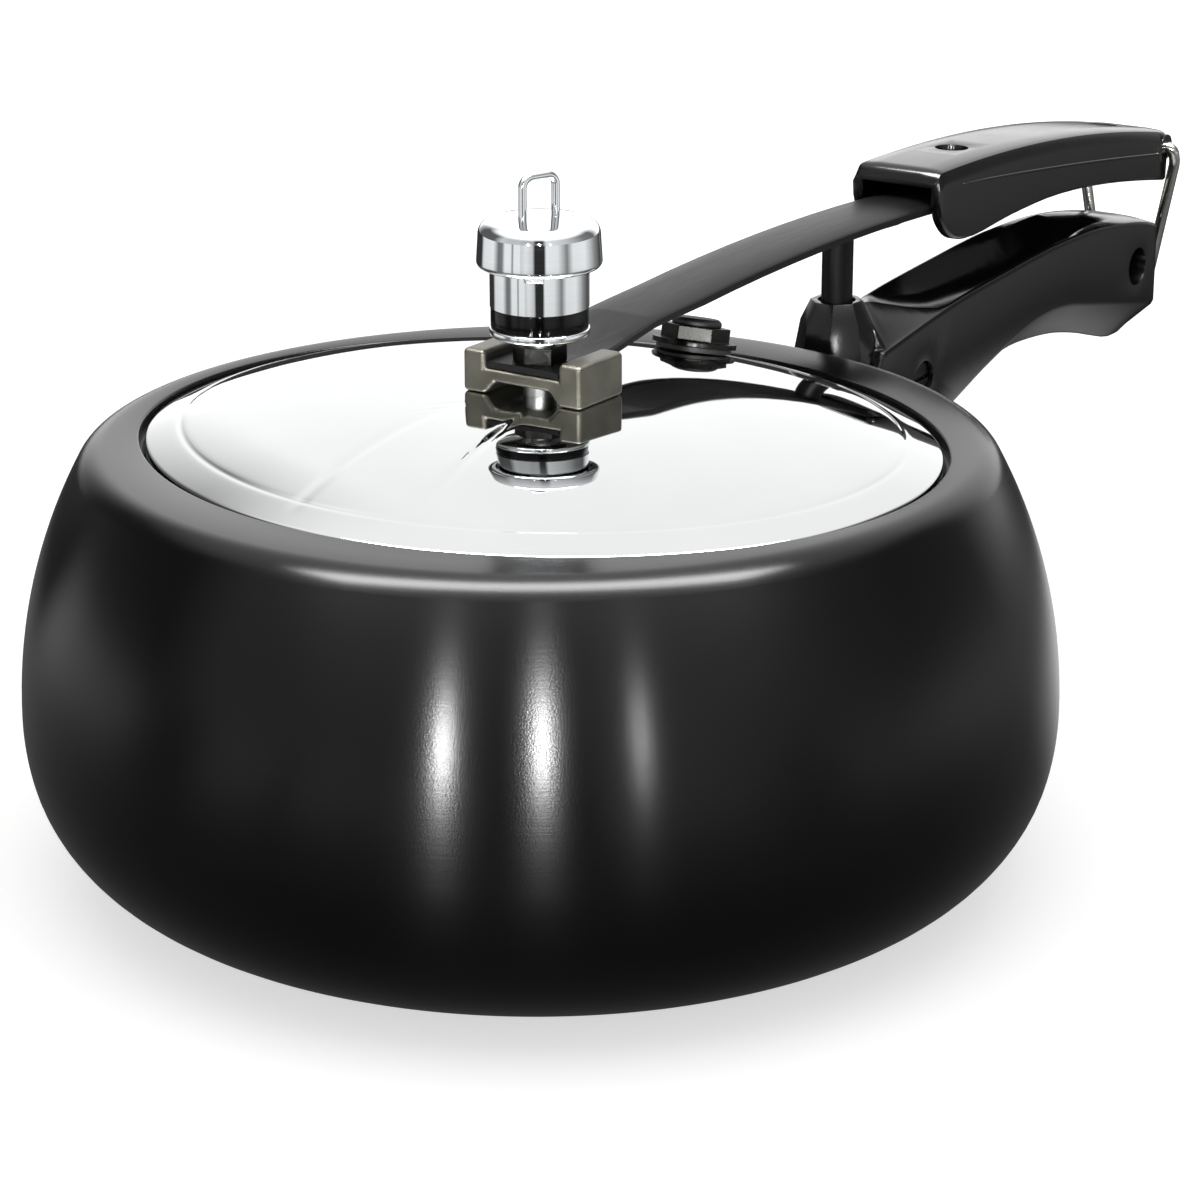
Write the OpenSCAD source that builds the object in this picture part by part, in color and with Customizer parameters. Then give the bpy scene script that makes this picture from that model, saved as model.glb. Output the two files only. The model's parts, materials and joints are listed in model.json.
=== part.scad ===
// Stovetop pressure cooker with an inner lid: bellied pot, oval drop-in lid held up
// against the rim by a lever bar, vent weight, safety valve, two moulded grips and a locking loop.
// Millimetres. Origin at the centre of the base, +X along the handles, +Z up.

/* [Pot] */
// Widest outside diameter of the belly
belly_d = 222.6; // [206:0.5:240]
// Height from the table to the flat of the rim
pot_h = 94.8; // [88:0.1:104]
// Height of the widest point of the belly
belly_z = 38; // [34:0.5:42]
// Radius of the curve from the belly up to the shoulder
flank_r = 110; // [100:1:124]
// Radius of the curve from the belly down towards the base
lower_r = 52; // [44:1:60]
// Radius where the wall turns into the base
corner_r = 34; // [28:0.5:36]
// Radius of the rolled shoulder beside the rim
shoulder_r = 7; // [5:0.1:9]
// Thickness of the pot's wall and rim
wall = 3.2; // [2.4:0.1:4]
// Thickness of the pot's base
base_t = 4.4; // [3:0.1:7]

/* [Mouth and lid] */
// Oval mouth measured along the handles
mouth_short = 159.4; // [150:0.2:164]
// Oval mouth measured across the handles
mouth_long = 176.7; // [170:0.1:180]
// Radius of the oval's end arcs
mouth_end_r = 72; // [68:0.5:74]
// Least width of the flat rim outside the mouth
rim_flat = 3.1; // [2.5:0.1:6]
// Gap seen between the rim and the lid's crown
lid_gap = 1.3; // [0.8:0.1:2]
// Thickness of the lid's sheet
lid_t = 1.4; // [1:0.1:2]
// How far the lid's crown edge lies below the rim
lid_edge_drop = 0.6; // [0.3:0.1:1.2]
// Rise of the lid from its crown edge to its centre
lid_rise = 9.7; // [7:0.1:12]
// Width of the curved zone inside the crown edge
lid_curve_w = 60; // [54:1:64]
// Exponent of the crown's curve
lid_power = 2.5; // [2:0.1:3]
// How far in from the crown's edge the pressed bead lies
bead_in = 7.6; // [6:0.1:9.5]
// Depth of the pressed bead
bead_depth = 0.25; // [0.1:0.05:0.4]
// How far the lid's flange reaches under the rim
flange_reach = 3.5; // [3:0.1:4.5]
// Height of the rubber gasket
gasket_h = 3.4; // [2.4:0.1:4.4]

/* [Lid bracket and bar] */
// Width of the bracket across the handles
bracket_w = 30; // [27:0.2:34]
// Length of the bracket along the handles
bracket_l = 16.4; // [15:0.2:20]
// Height of the bracket's cheeks
bracket_h = 9.4; // [8.4:0.1:11]
// Width of the handle bar
bar_w = 18.4; // [16:0.2:20]
// Thickness of the bar's flat end plate
bar_end_t = 1.6; // [1.2:0.1:2.4]
// Height of the bar's arched section, crown to lower edge
bar_t = 3.1; // [2.4:0.1:4]
// Radius of the bar's long arch
bar_arch_r = 902; // [800:5:1000]
// Distance from the pot's axis to the pillar
pillar_x = 123.7; // [121.5:0.1:126]
// Diameter of the pillar
pillar_d = 7.5; // [6.5:0.1:8]

/* [Grips] */
// Width of both grips
grip_w = 24; // [22:0.2:27]
// Length of the body grip from the pot's axis
body_grip_end = 276; // [270:0.5:290]
// Diameter of the hanging hole
hang_hole_d = 10.3; // [8:0.1:12]
// Wall thickness of the moulded grips
grip_wall = 3.0; // [2.4:0.1:4]
// Radius on the long edges of the grips
edge_r = 1.8; // [1:0.1:2.6]
// Length of the lid grip
lid_grip_l = 127.8; // [124:0.1:132]
// How far the lid grip reaches past the body grip's end
lid_grip_over = 3.3; // [3:0.1:4.5]
// Height of the lid grip's top above the pillar's ball
lid_grip_rise = 31.4; // [30:0.1:34]
// Diameter of the screw wells in the lid grip
well_d = 8.4; // [7:0.1:9.4]
// Diameter of the bolt through the body grip
bolt_d = 5; // [4:0.1:5.6]
// Diameter of the wells for the bolt's head and nut
bolt_well_d = 9.2; // [8.4:0.1:10]

/* [Locking loop] */
// Diameter of the loop's wire
wire_d = 3; // [2.4:0.1:3.4]
// Half width of the loop at its pivots
loop_top_y = 13.9; // [13.6:0.1:15.5]
// Half width of the loop at its cross bar
loop_low_y = 7.6; // [6:0.1:9]
// Height of the loop from pivot to cross bar
loop_h = 37.3; // [35:0.1:40]

/* [Vent weight] */
// Diameter of the weight's cap
cap_d = 26.4; // [25.5:0.1:29]
// Height of the weight's cap
cap_h = 10.4; // [9:0.1:12]
// Diameter of the weight's barrel
barrel_d = 20.9; // [20:0.1:22]
// Height of the bare barrel below the cap
barrel_h = 8.3; // [7:0.1:10]
// Height of the black band
band_h = 4.5; // [3.5:0.1:5.5]
// Height of the base ring
ring_h = 1.8; // [1.4:0.1:2.4]
// Diameter of the vent tube's nozzle
nozzle_d = 4.6; // [4.2:0.1:5]
// Bore of the vent tube
vent_bore_d = 2; // [1.6:0.1:2.6]
// Width of the finger loop between its legs
finger_loop_w = 8.6; // [8:0.1:10]
// Height of the finger loop above the cap
finger_loop_h = 9.6; // [8.6:0.1:11]

/* [Safety valve] */
// Distance from the pot's axis to the safety valve
valve_x = 60; // [56:0.5:62]
// Diameter of the safety valve's flange
valve_flange_d = 19; // [17:0.1:20]
// Width across flats of the safety valve's hexagon
valve_hex = 13.5; // [12:0.1:14.5]

/* [Hidden] */
$fn = 64;

// Clearances
running = 0.06;
free_gap = 0.3;
bore_gap = 0.1;
cut = 1;

// Colours
anodised = "#2c2c2e";
steel = "#d9dadb";
dark_metal = "#4a4a4c";
phenolic = "#2a2a2a";
rubber = "#151515";
tin = "#a8a8a4";

// Pot outline: arcs that run into each other; the shoulder stays outside the mouth
belly_r = belly_d / 2;
flank_cx = belly_r - flank_r;
flank_rise = asin((pot_h - shoulder_r - belly_z) / (flank_r - shoulder_r));
shoulder_cx = max(flank_cx + (flank_r - shoulder_r) * cos(flank_rise), mouth_long / 2 + rim_flat);
shoulder_cz = pot_h - shoulder_r;
shoulder_way = [shoulder_cx - flank_cx, shoulder_cz - belly_z];
shoulder_a = atan2(shoulder_way[1], shoulder_way[0]) - acos(min(1, (flank_r - shoulder_r) / norm(shoulder_way)));
lower_cx = belly_r - lower_r;
corner_a = asin((belly_z - corner_r) / (lower_r - corner_r));
corner_cx = lower_cx + (lower_r - corner_r) * cos(corner_a);
rim_under_z = pot_h - wall;

// Oval mouth: four arcs, shared by the rim, the gasket and the lid
short_r = mouth_short / 2;
end_c = mouth_long / 2 - mouth_end_r;
side_r = (end_c * end_c + short_r * short_r - mouth_end_r * mouth_end_r) / (2 * (short_r - mouth_end_r));
side_c = side_r - short_r;
join_a = atan2(end_c, side_c);

// Lid heights
lid_edge_z = pot_h - lid_edge_drop;
lid_top_z = lid_edge_z + lid_rise;
lid_under_z = lid_top_z - lid_t;
gasket_top_z = rim_under_z - free_gap;
flange_top_z = gasket_top_z - gasket_h;
oval_steps = 18;

// Bracket and bar
cheek_in = bar_w / 2 + 0.15;
bracket_x0 = -7.1;
web_top_z = lid_top_z + 5.7;
web_t = 2.8;
bar_seat_z = web_top_z;
bar_x0 = -6.6;
bar_end_top_z = bar_seat_z + bar_end_t;
bar_flat_x = 9;
bar_crease_x = 30;
bar_blend_l = 20;
bar_crown = 1.1;
pin_d = 7;

// Pillar and its seat, measured from the rim
ball_z = pot_h - 0.4;
seat_r = 4.5;
seat_floor = 5.5;
socket_top_z = ball_z + 4.2;
socket_z0 = ball_z - 10.4;

// Body grip: its front from the belly, its heights from the rim, its drawn length set by the tables
grip_half = grip_w / 2;
grip_front = belly_r + 4.7;
drawn_pillar = 7.7;
drawn_plain = 48;
drawn_l = 160;
slot_half = 5;
slot_z0 = pot_h - 28.8;
slot_z1 = pot_h - 9.8;
slot_x1 = pillar_x + 37.3;
tongue_x1 = slot_x1 - 1;
bolt_x = pillar_x + 22.6;
bolt_z = pot_h - 19.3;
bolt_well_depth = 3.4;
hang_x = body_grip_end - 11.3;
hang_z = pot_h - 14.7;
lip_out = 2.7;
lip_h = 3.3;
lip_half = 5;
pad_half_a = 7.5;
pad_t = 2.4;
pad_z0 = pot_h - 39.8;
pad_z1 = pot_h - 10.8;
rivet_r = 2.4;
rivet_head_gap = 0.2;
rivet_a = 4.8;
rivet_zs = [pot_h - 32.8, pot_h - 17.8];

// Lid grip: its far end from the body grip's, its well screws from its own ends
lid_grip_x1 = body_grip_end + lid_grip_over;
lid_grip_x0 = lid_grip_x1 - lid_grip_l;
lid_grip_top = ball_z + lid_grip_rise;
lid_grip_apex_x = lid_grip_x0 + 13.5;
lid_grip_arch_r = 590;
drawn_lid_grip_l = 127.8;
end_wall = 4.3;
cavity_half = bar_w / 2 + 0.35;
roof_t = 4;
front_round = 2.6;
well_xs = [lid_grip_x0 + 27.5, lid_grip_x1 - 15.3];
boss_r = 4.6;
screw_r = 2;
grip_nut_h = 2.2;

// Arch of the bar: highest near the pillar, flatter inside the lid grip
bar_apex_x = pillar_x - 11.7;
bar_apex_z = lid_top_z + 15.15;
bar_turn_x = lid_grip_x0 - 1.5;
bar_tail_r = 3500;
bar_end_x = lid_grip_x1 - end_wall - 3;

// Loop
wire_r = wire_d / 2;
pivot_x = lid_grip_x1;
pivot_z = lid_grip_z(pivot_x) - 4.4;
lug_r = 3.4;
pin_len = 7.5;
loop_out = 1.7;
loop_elbow = 4.2;
loop_low_z = pivot_z - loop_h;
hook_gap = 0.67;
lip_z = loop_low_z + wire_r + hook_gap;

// Vent tube and weight, stacked from the bar upwards
vent_nut_h = 3.6;
vent_nut_flats = 10;
washer_t = 1.4;
tube_flange_t = 2.2;
ring_z = bar_end_top_z + 5.6;
band_z = ring_z + ring_h;
barrel_z = band_z + band_h;
cap_z = barrel_z + barrel_h;
cap_top_z = cap_z + cap_h;
cap_wall = 1.2;
shell_t = 1.2;
tip_z = cap_z - 0.6;
loop_wire_r = 0.9;
loop_foot = 1.6;
loop_turn = -18;

// Safety valve stands square on the sloping crown
valve_d = short_r - lid_gap - valve_x;
valve_slope = lid_rise * lid_power / lid_curve_w * pow(1 - valve_d / lid_curve_w, lid_power - 1);
valve_tilt = atan(valve_slope);
valve_z = crown_z(valve_d);

// ---------- helpers ----------

// Points of an arc about (x, z)
function arc(x, z, r, a0, a1, n = 12) = [for (i = [0:n]) [x + r * cos(a0 + (a1 - a0) * i / n), z + r * sin(a0 + (a1 - a0) * i / n)]];

// Height of the lid's crown at a distance in from its edge
function crown_z(d) = lid_edge_z + lid_rise * (1 - pow(max(0, 1 - d / lid_curve_w), lid_power));

// Straight-line value between listed stations
function between(t, x) = lookup(x, t);

// Smooth value through listed stations, with no overshoot
function rate(t, i) = (t[i + 1][1] - t[i][1]) / (t[i + 1][0] - t[i][0]);
function slope_at(t, i) = i == 0 ? rate(t, 0) : i == len(t) - 1 ? rate(t, i - 1)
    : let (a = rate(t, i - 1), b = rate(t, i)) a * b <= 0 ? 0 : 2 * a * b / (a + b);
function station_at(t, x, i = 0) = i >= len(t) - 2 || x < t[i + 1][0] ? i : station_at(t, x, i + 1);
function smooth(t, x) = let (i = station_at(t, x), w = t[i + 1][0] - t[i][0], u = min(1, max(0, (x - t[i][0]) / w)))
    t[i][1] * (1 + 2 * u) * pow(1 - u, 2) + t[i + 1][1] * u * u * (3 - 2 * u)
    + w * u * (1 - u) * (slope_at(t, i) * (1 - u) - slope_at(t, i + 1) * u);

// Top line of the handle bar
function bar_arch_z(x) = bar_apex_z - pow(x - bar_apex_x, 2) / (2 * bar_arch_r);
function bar_tail_z(x) = bar_arch_z(bar_turn_x) - (bar_turn_x - bar_apex_x) / bar_arch_r * (x - bar_turn_x)
    - pow(x - bar_turn_x, 2) / (2 * bar_tail_r);
function bar_ramp_z(x) = bar_end_top_z + (bar_arch_z(bar_crease_x) - bar_end_top_z) * (x - bar_flat_x) / (bar_crease_x - bar_flat_x);
function bar_top_z(x) = x < bar_flat_x ? bar_end_top_z : x < bar_crease_x ? bar_ramp_z(x)
    : x < bar_turn_x ? bar_arch_z(x) : bar_tail_z(x);

// Share of the full section that the bar has at x, from flat plate to arched strip
function bar_full(x) = min(1, max(0, (x - bar_flat_x) / (bar_crease_x + bar_blend_l - bar_flat_x)));

// Underside of the bar between its turned-down edges
function bar_under_z(x) = bar_top_z(x) - bar_crown * bar_full(x) - bar_end_t * 0.9;

// Top line of the lid grip
function lid_grip_z(x) = lid_grip_top - pow(x - lid_grip_apex_x, 2) / (2 * lid_grip_arch_r);

// Solid skinned through rings of points, each ring with an even number of points; round closes it on itself
module loft(rings, round = false) {
    n = len(rings[0]);
    m = len(rings);
    sides = [for (i = [0:m - (round ? 1 : 2)]) for (j = [0:n - 1]) let (up = (i + 1) % m * n, k = (j + 1) % n) each [
        [i * n + j, up + j, up + k], [i * n + j, up + k, i * n + k]]];
    k = n / 2;
    cap = round ? [] : concat([for (j = [1:k - 2]) [0, j, j + 1]], [[0, k - 1, k], [0, k, n - 1]], [for (j = [k:n - 3]) [n - 1, j, j + 1]]);
    first = cap;
    last = [for (t = cap) [for (j = [2:-1:0]) (m - 1) * n + t[j]]];
    polyhedron([for (r = rings) each r], concat(first, sides, last), convexity = 8);
}

// Ring at x from a half outline listed bottom to top on the +Y side
function mirrored_ring(x, half) = concat(
    [for (p = half) [x, p[0], p[1]]],
    [for (i = [len(half) - 1:-1:0]) [x, -half[i][0], half[i][1]]]);

// Straight round rod between two points
module rod(a, b, r) {
    v = b - a;
    l = norm(v);
    translate(a) rotate([0, acos(v[2] / l), atan2(v[1], v[0])]) cylinder(h = l, r = r, $fn = 32);
}

function unit(v) = v / norm(v);

// Points of a path through the corners p, rounded with radius b[i] at each corner
function rounded(p, b, steps = 6) = let (n = len(p)) concat([p[0]], [for (i = [1:n - 2])
    let (u = unit(p[i] - p[i - 1]), v = unit(p[i + 1] - p[i]), turn = acos(u * v),
        q = b[i - 1] * tan(turn / 2), inward = unit(v - u * (u * v)), c = p[i] - u * q + inward * b[i - 1])
    each [for (k = [0:steps]) c + b[i - 1] * (u * sin(turn * k / steps) - inward * cos(turn * k / steps))]], [p[n - 1]]);

// Round wire skinned along a path, its section carried along without twist
module tube(path, r, side, sides = 20) {
    n = len(path);
    dir = [for (i = [0:n - 1]) unit(path[min(i + 1, n - 1)] - path[max(i - 1, 0)])];
    across = [for (i = 0, u = side; i < n; i = i + 1, u = i < n ? unit(u - dir[i] * (dir[i] * u)) : u) unit(u - dir[i] * (dir[i] * u))];
    loft([for (i = [0:n - 1]) let (v = cross(dir[i], across[i])) [for (k = [0:sides - 1])
        path[i] + r * (across[i] * cos(360 * k / sides) + v * sin(360 * k / sides))]]);
}

// Oval with the mouth's arcs moved outwards by o
module oval(o) {
    y_join = (side_r + o) * sin(join_a);
    for (s = [-1, 1]) translate([0, s * end_c]) circle(r = mouth_end_r + o, $fn = 128);
    intersection() {
        translate([-side_c, 0]) circle(r = side_r + o, $fn = 160);
        translate([side_c, 0]) circle(r = side_r + o, $fn = 160);
        square([4 * side_r, 2 * y_join], center = true);
    }
}

// Point on the oval moved outwards by o, where its edge faces the direction a
function oval_point(a, o, z) =
    let (side = cos(a) >= cos(join_a) ? 1 : cos(a) <= -cos(join_a) ? -1 : 0, r = (side == 0 ? mouth_end_r : side_r) + o)
    [(side == 0 ? 0 : -side * side_c) + r * cos(a), (side == 0 ? sign(sin(a)) * end_c : 0) + r * sin(a), z];

// Closed loop of points round the oval; its directions include the four joins of the arcs
function oval_loop(o, z) = [for (q = [0:3]) let (a0 = [-join_a, join_a, 180 - join_a, 180 + join_a][q],
    a1 = [join_a, 180 - join_a, 180 + join_a, 360 - join_a][q]) each [for (k = [0:oval_steps - 1])
    oval_point(a0 + (a1 - a0) * k / oval_steps, o, z)]];

// Hexagon prism by its width across flats
module hex(flats, h) {
    cylinder(h = h, r = flats / 2 / cos(30), $fn = 6);
}

// Carries its children onto the crown at the safety valve
module at_valve() {
    translate([valve_x, 0, valve_z]) rotate([0, valve_tilt, 0]) children();
}

// Outside line of the pot from the base to the rim, moved outwards by o
function outside_line(o) = concat(
    arc(corner_cx, corner_r, corner_r + o, -90, -corner_a, 10),
    arc(lower_cx, belly_z, lower_r + o, -corner_a, 0, 4),
    arc(flank_cx, belly_z, flank_r + o, 0, shoulder_a, 12),
    arc(shoulder_cx, shoulder_cz, shoulder_r + o, shoulder_a, 90, 8));

// ---------- pot ----------

module pot_outside() {
    rotate_extrude($fn = 128) polygon(concat([[0, 0]], outside_line(0), [[0, pot_h]]));
}

module pot_inside() {
    rotate_extrude($fn = 128) intersection() {
        polygon(concat([[0, 0]], outside_line(-wall), [[0, rim_under_z]]));
        translate([0, base_t]) square([belly_d, pot_h]);
    }
}

// Lean and radius of the flank at a height, on its arc or on the straight above it
function flank_lean(z) = min(asin((z - belly_z) / flank_r), shoulder_a);
function flank_at(z) = let (a = flank_lean(z))
    flank_cx + flank_r * cos(a) - (z - belly_z - flank_r * sin(a)) * tan(a);

// Carries its children onto the pot's flank at each rivet, with +Z along the outward normal
module rivet_places() {
    for (s = [-1, 1]) for (z = rivet_zs)
        rotate([0, 0, s * rivet_a]) translate([flank_at(z), 0, z]) rotate([0, 90 - flank_lean(z), 0]) children();
}

module pot_body() {
    color(anodised) difference() {
        pot_outside();
        pot_inside();
        translate([0, 0, rim_under_z - cut]) linear_extrude(wall + 2 * cut) oval(0);
        rivet_places() cylinder(h = 6 * wall, r = rivet_r + bore_gap, center = true, $fn = 32);
    }
}

// Pressed pad on the pot's flank with a thick tongue that enters the grip
module grip_bracket() {
    color(dark_metal) difference() {
        union() {
            rotate([0, 0, -pad_half_a]) rotate_extrude(angle = 2 * pad_half_a, $fn = 128) intersection() {
                difference() {
                    polygon(concat([[0, 0]], outside_line(pad_t), [[0, pot_h]]));
                    polygon(concat([[0, -cut]], outside_line(bore_gap / 2), [[0, pot_h + cut]]));
                }
                translate([0, pad_z0]) square([belly_d, pad_z1 - pad_z0]);
            }
            difference() {
                translate([belly_r - 8, -slot_half + bore_gap, slot_z0 + free_gap])
                    cube([tongue_x1 - belly_r + 8, 2 * (slot_half - bore_gap), slot_z1 - slot_z0 - 2 * free_gap]);
                rotate_extrude($fn = 128) polygon(concat([[0, -cut]], outside_line(pad_t / 2), [[0, pot_h + cut]]));
            }
        }
        rivet_places() cylinder(h = 6 * wall, r = rivet_r + bore_gap, center = true, $fn = 32);
        translate([bolt_x, 0, bolt_z]) rotate([90, 0, 0]) cylinder(h = grip_w, r = bolt_d / 2 + bore_gap, center = true);
    }
}

// Four rivets, each with a cone head outside and a flat head inside the pot
module bracket_rivets() {
    head_r = rivet_r + 1.6;
    head_h = 1.5;
    color(steel) rivet_places() {
        translate([0, 0, -wall - rivet_head_gap - 1]) cylinder(h = 1, r = head_r, $fn = 32);
        translate([0, 0, -wall - rivet_head_gap]) cylinder(h = wall + rivet_head_gap + pad_t, r = rivet_r, $fn = 32);
        translate([0, 0, pad_t]) cylinder(h = head_h, r1 = head_r, r2 = rivet_r, $fn = 32);
    }
}

// ---------- body grip ----------

// Lines of the grip: [distance from its front, height above the rim]
grip_top_line = [[0, -26.8], [5, -16.8], [9.6, -9.8], [10.4, -8.2], [15, -7.4], [24, -6], [38, -4], [49, -2.7],
    [63, -1.6], [76, -0.7], [89, 0.2], [104, 0.8], [117, 0.8], [134, -0.2], [146, -1.7], [154, -3.1], [160, -4.9]];
grip_side_line = [[0, -39.3], [24, -34.8], [45, -28.9], [65, -22.6], [81, -18.6], [90, -16.9], [99, -16.3],
    [109, -17], [119, -18.9], [160, -26.8]];
grip_keel_line = [[0, -39.3], [24, -34.8], [45, -28.9], [64, -24.9], [76, -24.6], [88, -25.1], [100, -26],
    [116, -27.8], [126, -29.7], [138, -32.7], [148, -35.6], [154, -36.9], [158, -36.8], [160, -36]];
// Inner rim of the scoop, from the crest behind the socket to the crowned far end
scoop_rim_line = [[0, -26.7], [5, -16.7], [9.6, -9.6], [10.4, -7.9], [11.5, 2.8], [13, 2.7], [16, 2.2], [19, 1.4], [24, 0],
    [29, -1.4], [34, -2.5], [39, -3.4], [43.5, -3.9], [53, -5.7], [63, -6.9], [74, -6.6], [84, -5.8], [96, -3.7],
    [108, -1], [118, 0.7], [126, 0.8], [134, 0.2], [146, -1.3], [154, -2.7], [160, -4.5]];
scoop_floor_line = [[0, -26.6], [5, -16.6], [9.6, -9.4], [10.4, -7.7], [11.5, 2.6], [13, 2.3], [19, 0.4], [24, -1.4],
    [34, -4.6], [44, -7.2], [54, -9.6], [64, -10.8], [84, -11], [104, -10.4], [116, -8.6], [123, -5.4], [129, -1.8],
    [134, 0.2], [138, 0.3], [146, -0.9], [154, -2.3], [160, -4.1]];
// Half widths of the keel and of the scoop: [distance from the front, half width]
grip_keel_half = [[0, 10.5], [60, 10.5], [75, 8], [90, 5.5], [110, 4], [135, 3.2], [160, 3]];
scoop_half = [[0, 5], [10, 5], [13, 4.8], [19, 5.2], [24, 6.2], [34, 8.4], [41, 10.2], [44, 10.2], [48, 9.6], [54, 9],
    [117, 9], [132, 8.6], [146, 8], [160, 8]];
grip_stations = [0, 5, 9.6, 10.4, 11.5, 13, 16, 19, 24, 29, 34, 39, 43.5, 48, 53, 58, 63, 69, 75, 81, 87, 93, 99, 104,
    108, 112, 116, 119.5, 123, 126, 129, 131.5, 134, 138, 142, 146, 150, 154, 157, 160];

function grip_ring(x) =
    let (zt = smooth(grip_top_line, x), zs = smooth(grip_side_line, x), zk = smooth(grip_keel_line, x),
        zr = smooth(scoop_rim_line, x), zf = smooth(scoop_floor_line, x),
        wk = smooth(grip_keel_half, x), wr = smooth(scoop_half, x))
    mirrored_ring(grip_x(x), [for (p = [[wk - 1.5, zk], [wk, zk + 0.8], [grip_half - 0.7, zs - 0.8], [grip_half, zs + 0.5],
        [grip_half, zt - 0.7 * edge_r], [grip_half - edge_r * 0.21, zt - edge_r * 0.2], [grip_half - edge_r * 0.7, zt],
        [wr, zr], [wr * 0.72, zf + (zr - zf) * 0.34], [wr * 0.36, zf + (zr - zf) * 0.07]]) [p[0], pot_h + p[1]]]);

// Place of a drawn station: the front follows the belly, the socket the pillar, the rest the grip's length
function grip_x(x) = x <= drawn_pillar ? grip_front + x * (pillar_x - grip_front) / drawn_pillar
    : x <= drawn_plain ? pillar_x + x - drawn_pillar
    : pillar_x + drawn_plain - drawn_pillar
        + (x - drawn_plain) * (body_grip_end - pillar_x - drawn_plain + drawn_pillar) / (drawn_l - drawn_plain);

module body_grip() {
    color(phenolic) difference() {
        union() {
            loft([for (x = grip_stations) grip_ring(x)]);
            translate([pillar_x, 0, socket_z0]) rotate([0, 0, 22.5]) {
                cylinder(h = 9.5, r1 = 10.4, r2 = 8.7, $fn = 8);
                translate([0, 0, 9.5]) cylinder(h = socket_top_z - socket_z0 - 9.5, r1 = 8.7, r2 = 6.3, $fn = 8);
            }
            translate([body_grip_end - 2, -lip_half, lip_z]) cube([lip_out + 2, 2 * lip_half, lip_h]);
        }
        translate([belly_r - 10, -slot_half, slot_z0]) cube([slot_x1 - belly_r + 10, 2 * slot_half, slot_z1 - slot_z0]);
        translate([pillar_x, 0, ball_z - seat_floor]) cylinder(h = 4 * seat_floor, r = seat_r + running);
        translate([bolt_x, 0, bolt_z]) rotate([90, 0, 0]) {
            cylinder(h = grip_w + cut, r = bolt_d / 2 + bore_gap, center = true);
            for (s = [-1, 1]) translate([0, 0, s * (grip_half - bolt_well_depth + 5)])
                cylinder(h = 10, r = bolt_well_d / 2, center = true);
        }
        translate([hang_x, 0, hang_z]) rotate([90, 0, 0]) cylinder(h = grip_w + cut, r = hang_hole_d / 2, center = true);
    }
}

// Cross bolt: pan head in the near well
module grip_bolt() {
    head_h = 2.4;
    seat_y = grip_half - bolt_well_depth;
    color(steel) translate([bolt_x, 0, bolt_z]) rotate([90, 0, 0]) difference() {
        union() {
            translate([0, 0, -seat_y - 2.6]) cylinder(h = 2 * seat_y + 2.6, r = bolt_d / 2);
            translate([0, 0, seat_y]) cylinder(h = head_h, r = bolt_well_d / 2 - 0.5);
        }
        translate([-bolt_well_d, -0.5, seat_y + head_h - 1]) cube([2 * bolt_well_d, 1, 2]);
    }
}

// Nut in the far well
module grip_nut() {
    seat_y = grip_half - bolt_well_depth;
    color(steel) translate([bolt_x, 0, bolt_z]) rotate([90, 0, 0]) translate([0, 0, -seat_y - 2.2]) difference() {
        hex(bolt_well_d * cos(30) - 0.6, 2.2);
        translate([0, 0, -cut]) cylinder(h = 2.2 + 2 * cut, r = bolt_d / 2 + running);
    }
}

// Steel cup that the pillar's ball foot rocks in
module pillar_seat() {
    color(steel) translate([pillar_x, 0, ball_z]) difference() {
        translate([0, 0, -seat_floor + running]) cylinder(h = seat_floor - running, r = seat_r);
        sphere(r = pillar_d / 2 + running);
    }
}

// ---------- lid ----------

// Depths in from the crown's edge at which the lid's skin has a loop of points
crown_steps = [0, 0.7, 2, 4.5, bead_in - 0.8, bead_in, bead_in + 0.8, 12, 17, 26, 38, lid_curve_w];

module lid() {
    n = len(crown_steps) - 1;
    top = [for (i = [n:-1:1]) oval_loop(-lid_gap - crown_steps[i],
        crown_z(crown_steps[i]) - (crown_steps[i] == bead_in ? bead_depth : 0))];
    edge = [oval_loop(-lid_gap - 0.5, lid_edge_z + 0.1), oval_loop(-lid_gap, lid_edge_z - 0.5)];
    flange = [oval_loop(-lid_gap, flange_top_z), oval_loop(flange_reach, flange_top_z),
        oval_loop(flange_reach, flange_top_z - lid_t), oval_loop(-lid_gap - lid_t, flange_top_z - lid_t)];
    under = [for (i = [2, 3, 7, 8, 9, 10, n]) oval_loop(-lid_gap - crown_steps[i], crown_z(crown_steps[i]) - lid_t)];
    color(steel) difference() {
        loft(concat(top, edge, flange, under));
        translate([0, 0, lid_under_z - cut]) cylinder(h = lid_t + 2 * cut, r = pin_d / 2 + bore_gap);
        for (s = [-1, 1]) translate([0, s * lid_rivet_y, lid_under_z - cut])
            cylinder(h = lid_t + 2 * cut, r = lid_rivet_r + bore_gap, $fn = 32);
        at_valve() cylinder(h = 20, r = valve_shank_r + bore_gap, center = true);
    }
}

// Rubber ring squeezed between the lid's flange and the rim
module gasket() {
    x0 = -lid_gap + free_gap;
    x1 = flange_reach - 0.1;
    z0 = flange_top_z + 0.05;
    color(rubber) loft([oval_loop(x0, z0), oval_loop(x1, z0), oval_loop(x1, gasket_top_z - 0.5),
        oval_loop(x1 - 0.5, gasket_top_z), oval_loop(x0 + 0.5, gasket_top_z), oval_loop(x0, gasket_top_z - 0.5)], true);
}

lid_rivet_r = 2;
lid_rivet_y = (bracket_w / 2 + cheek_in) / 2;
lid_rivet_up = 4;

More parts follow.
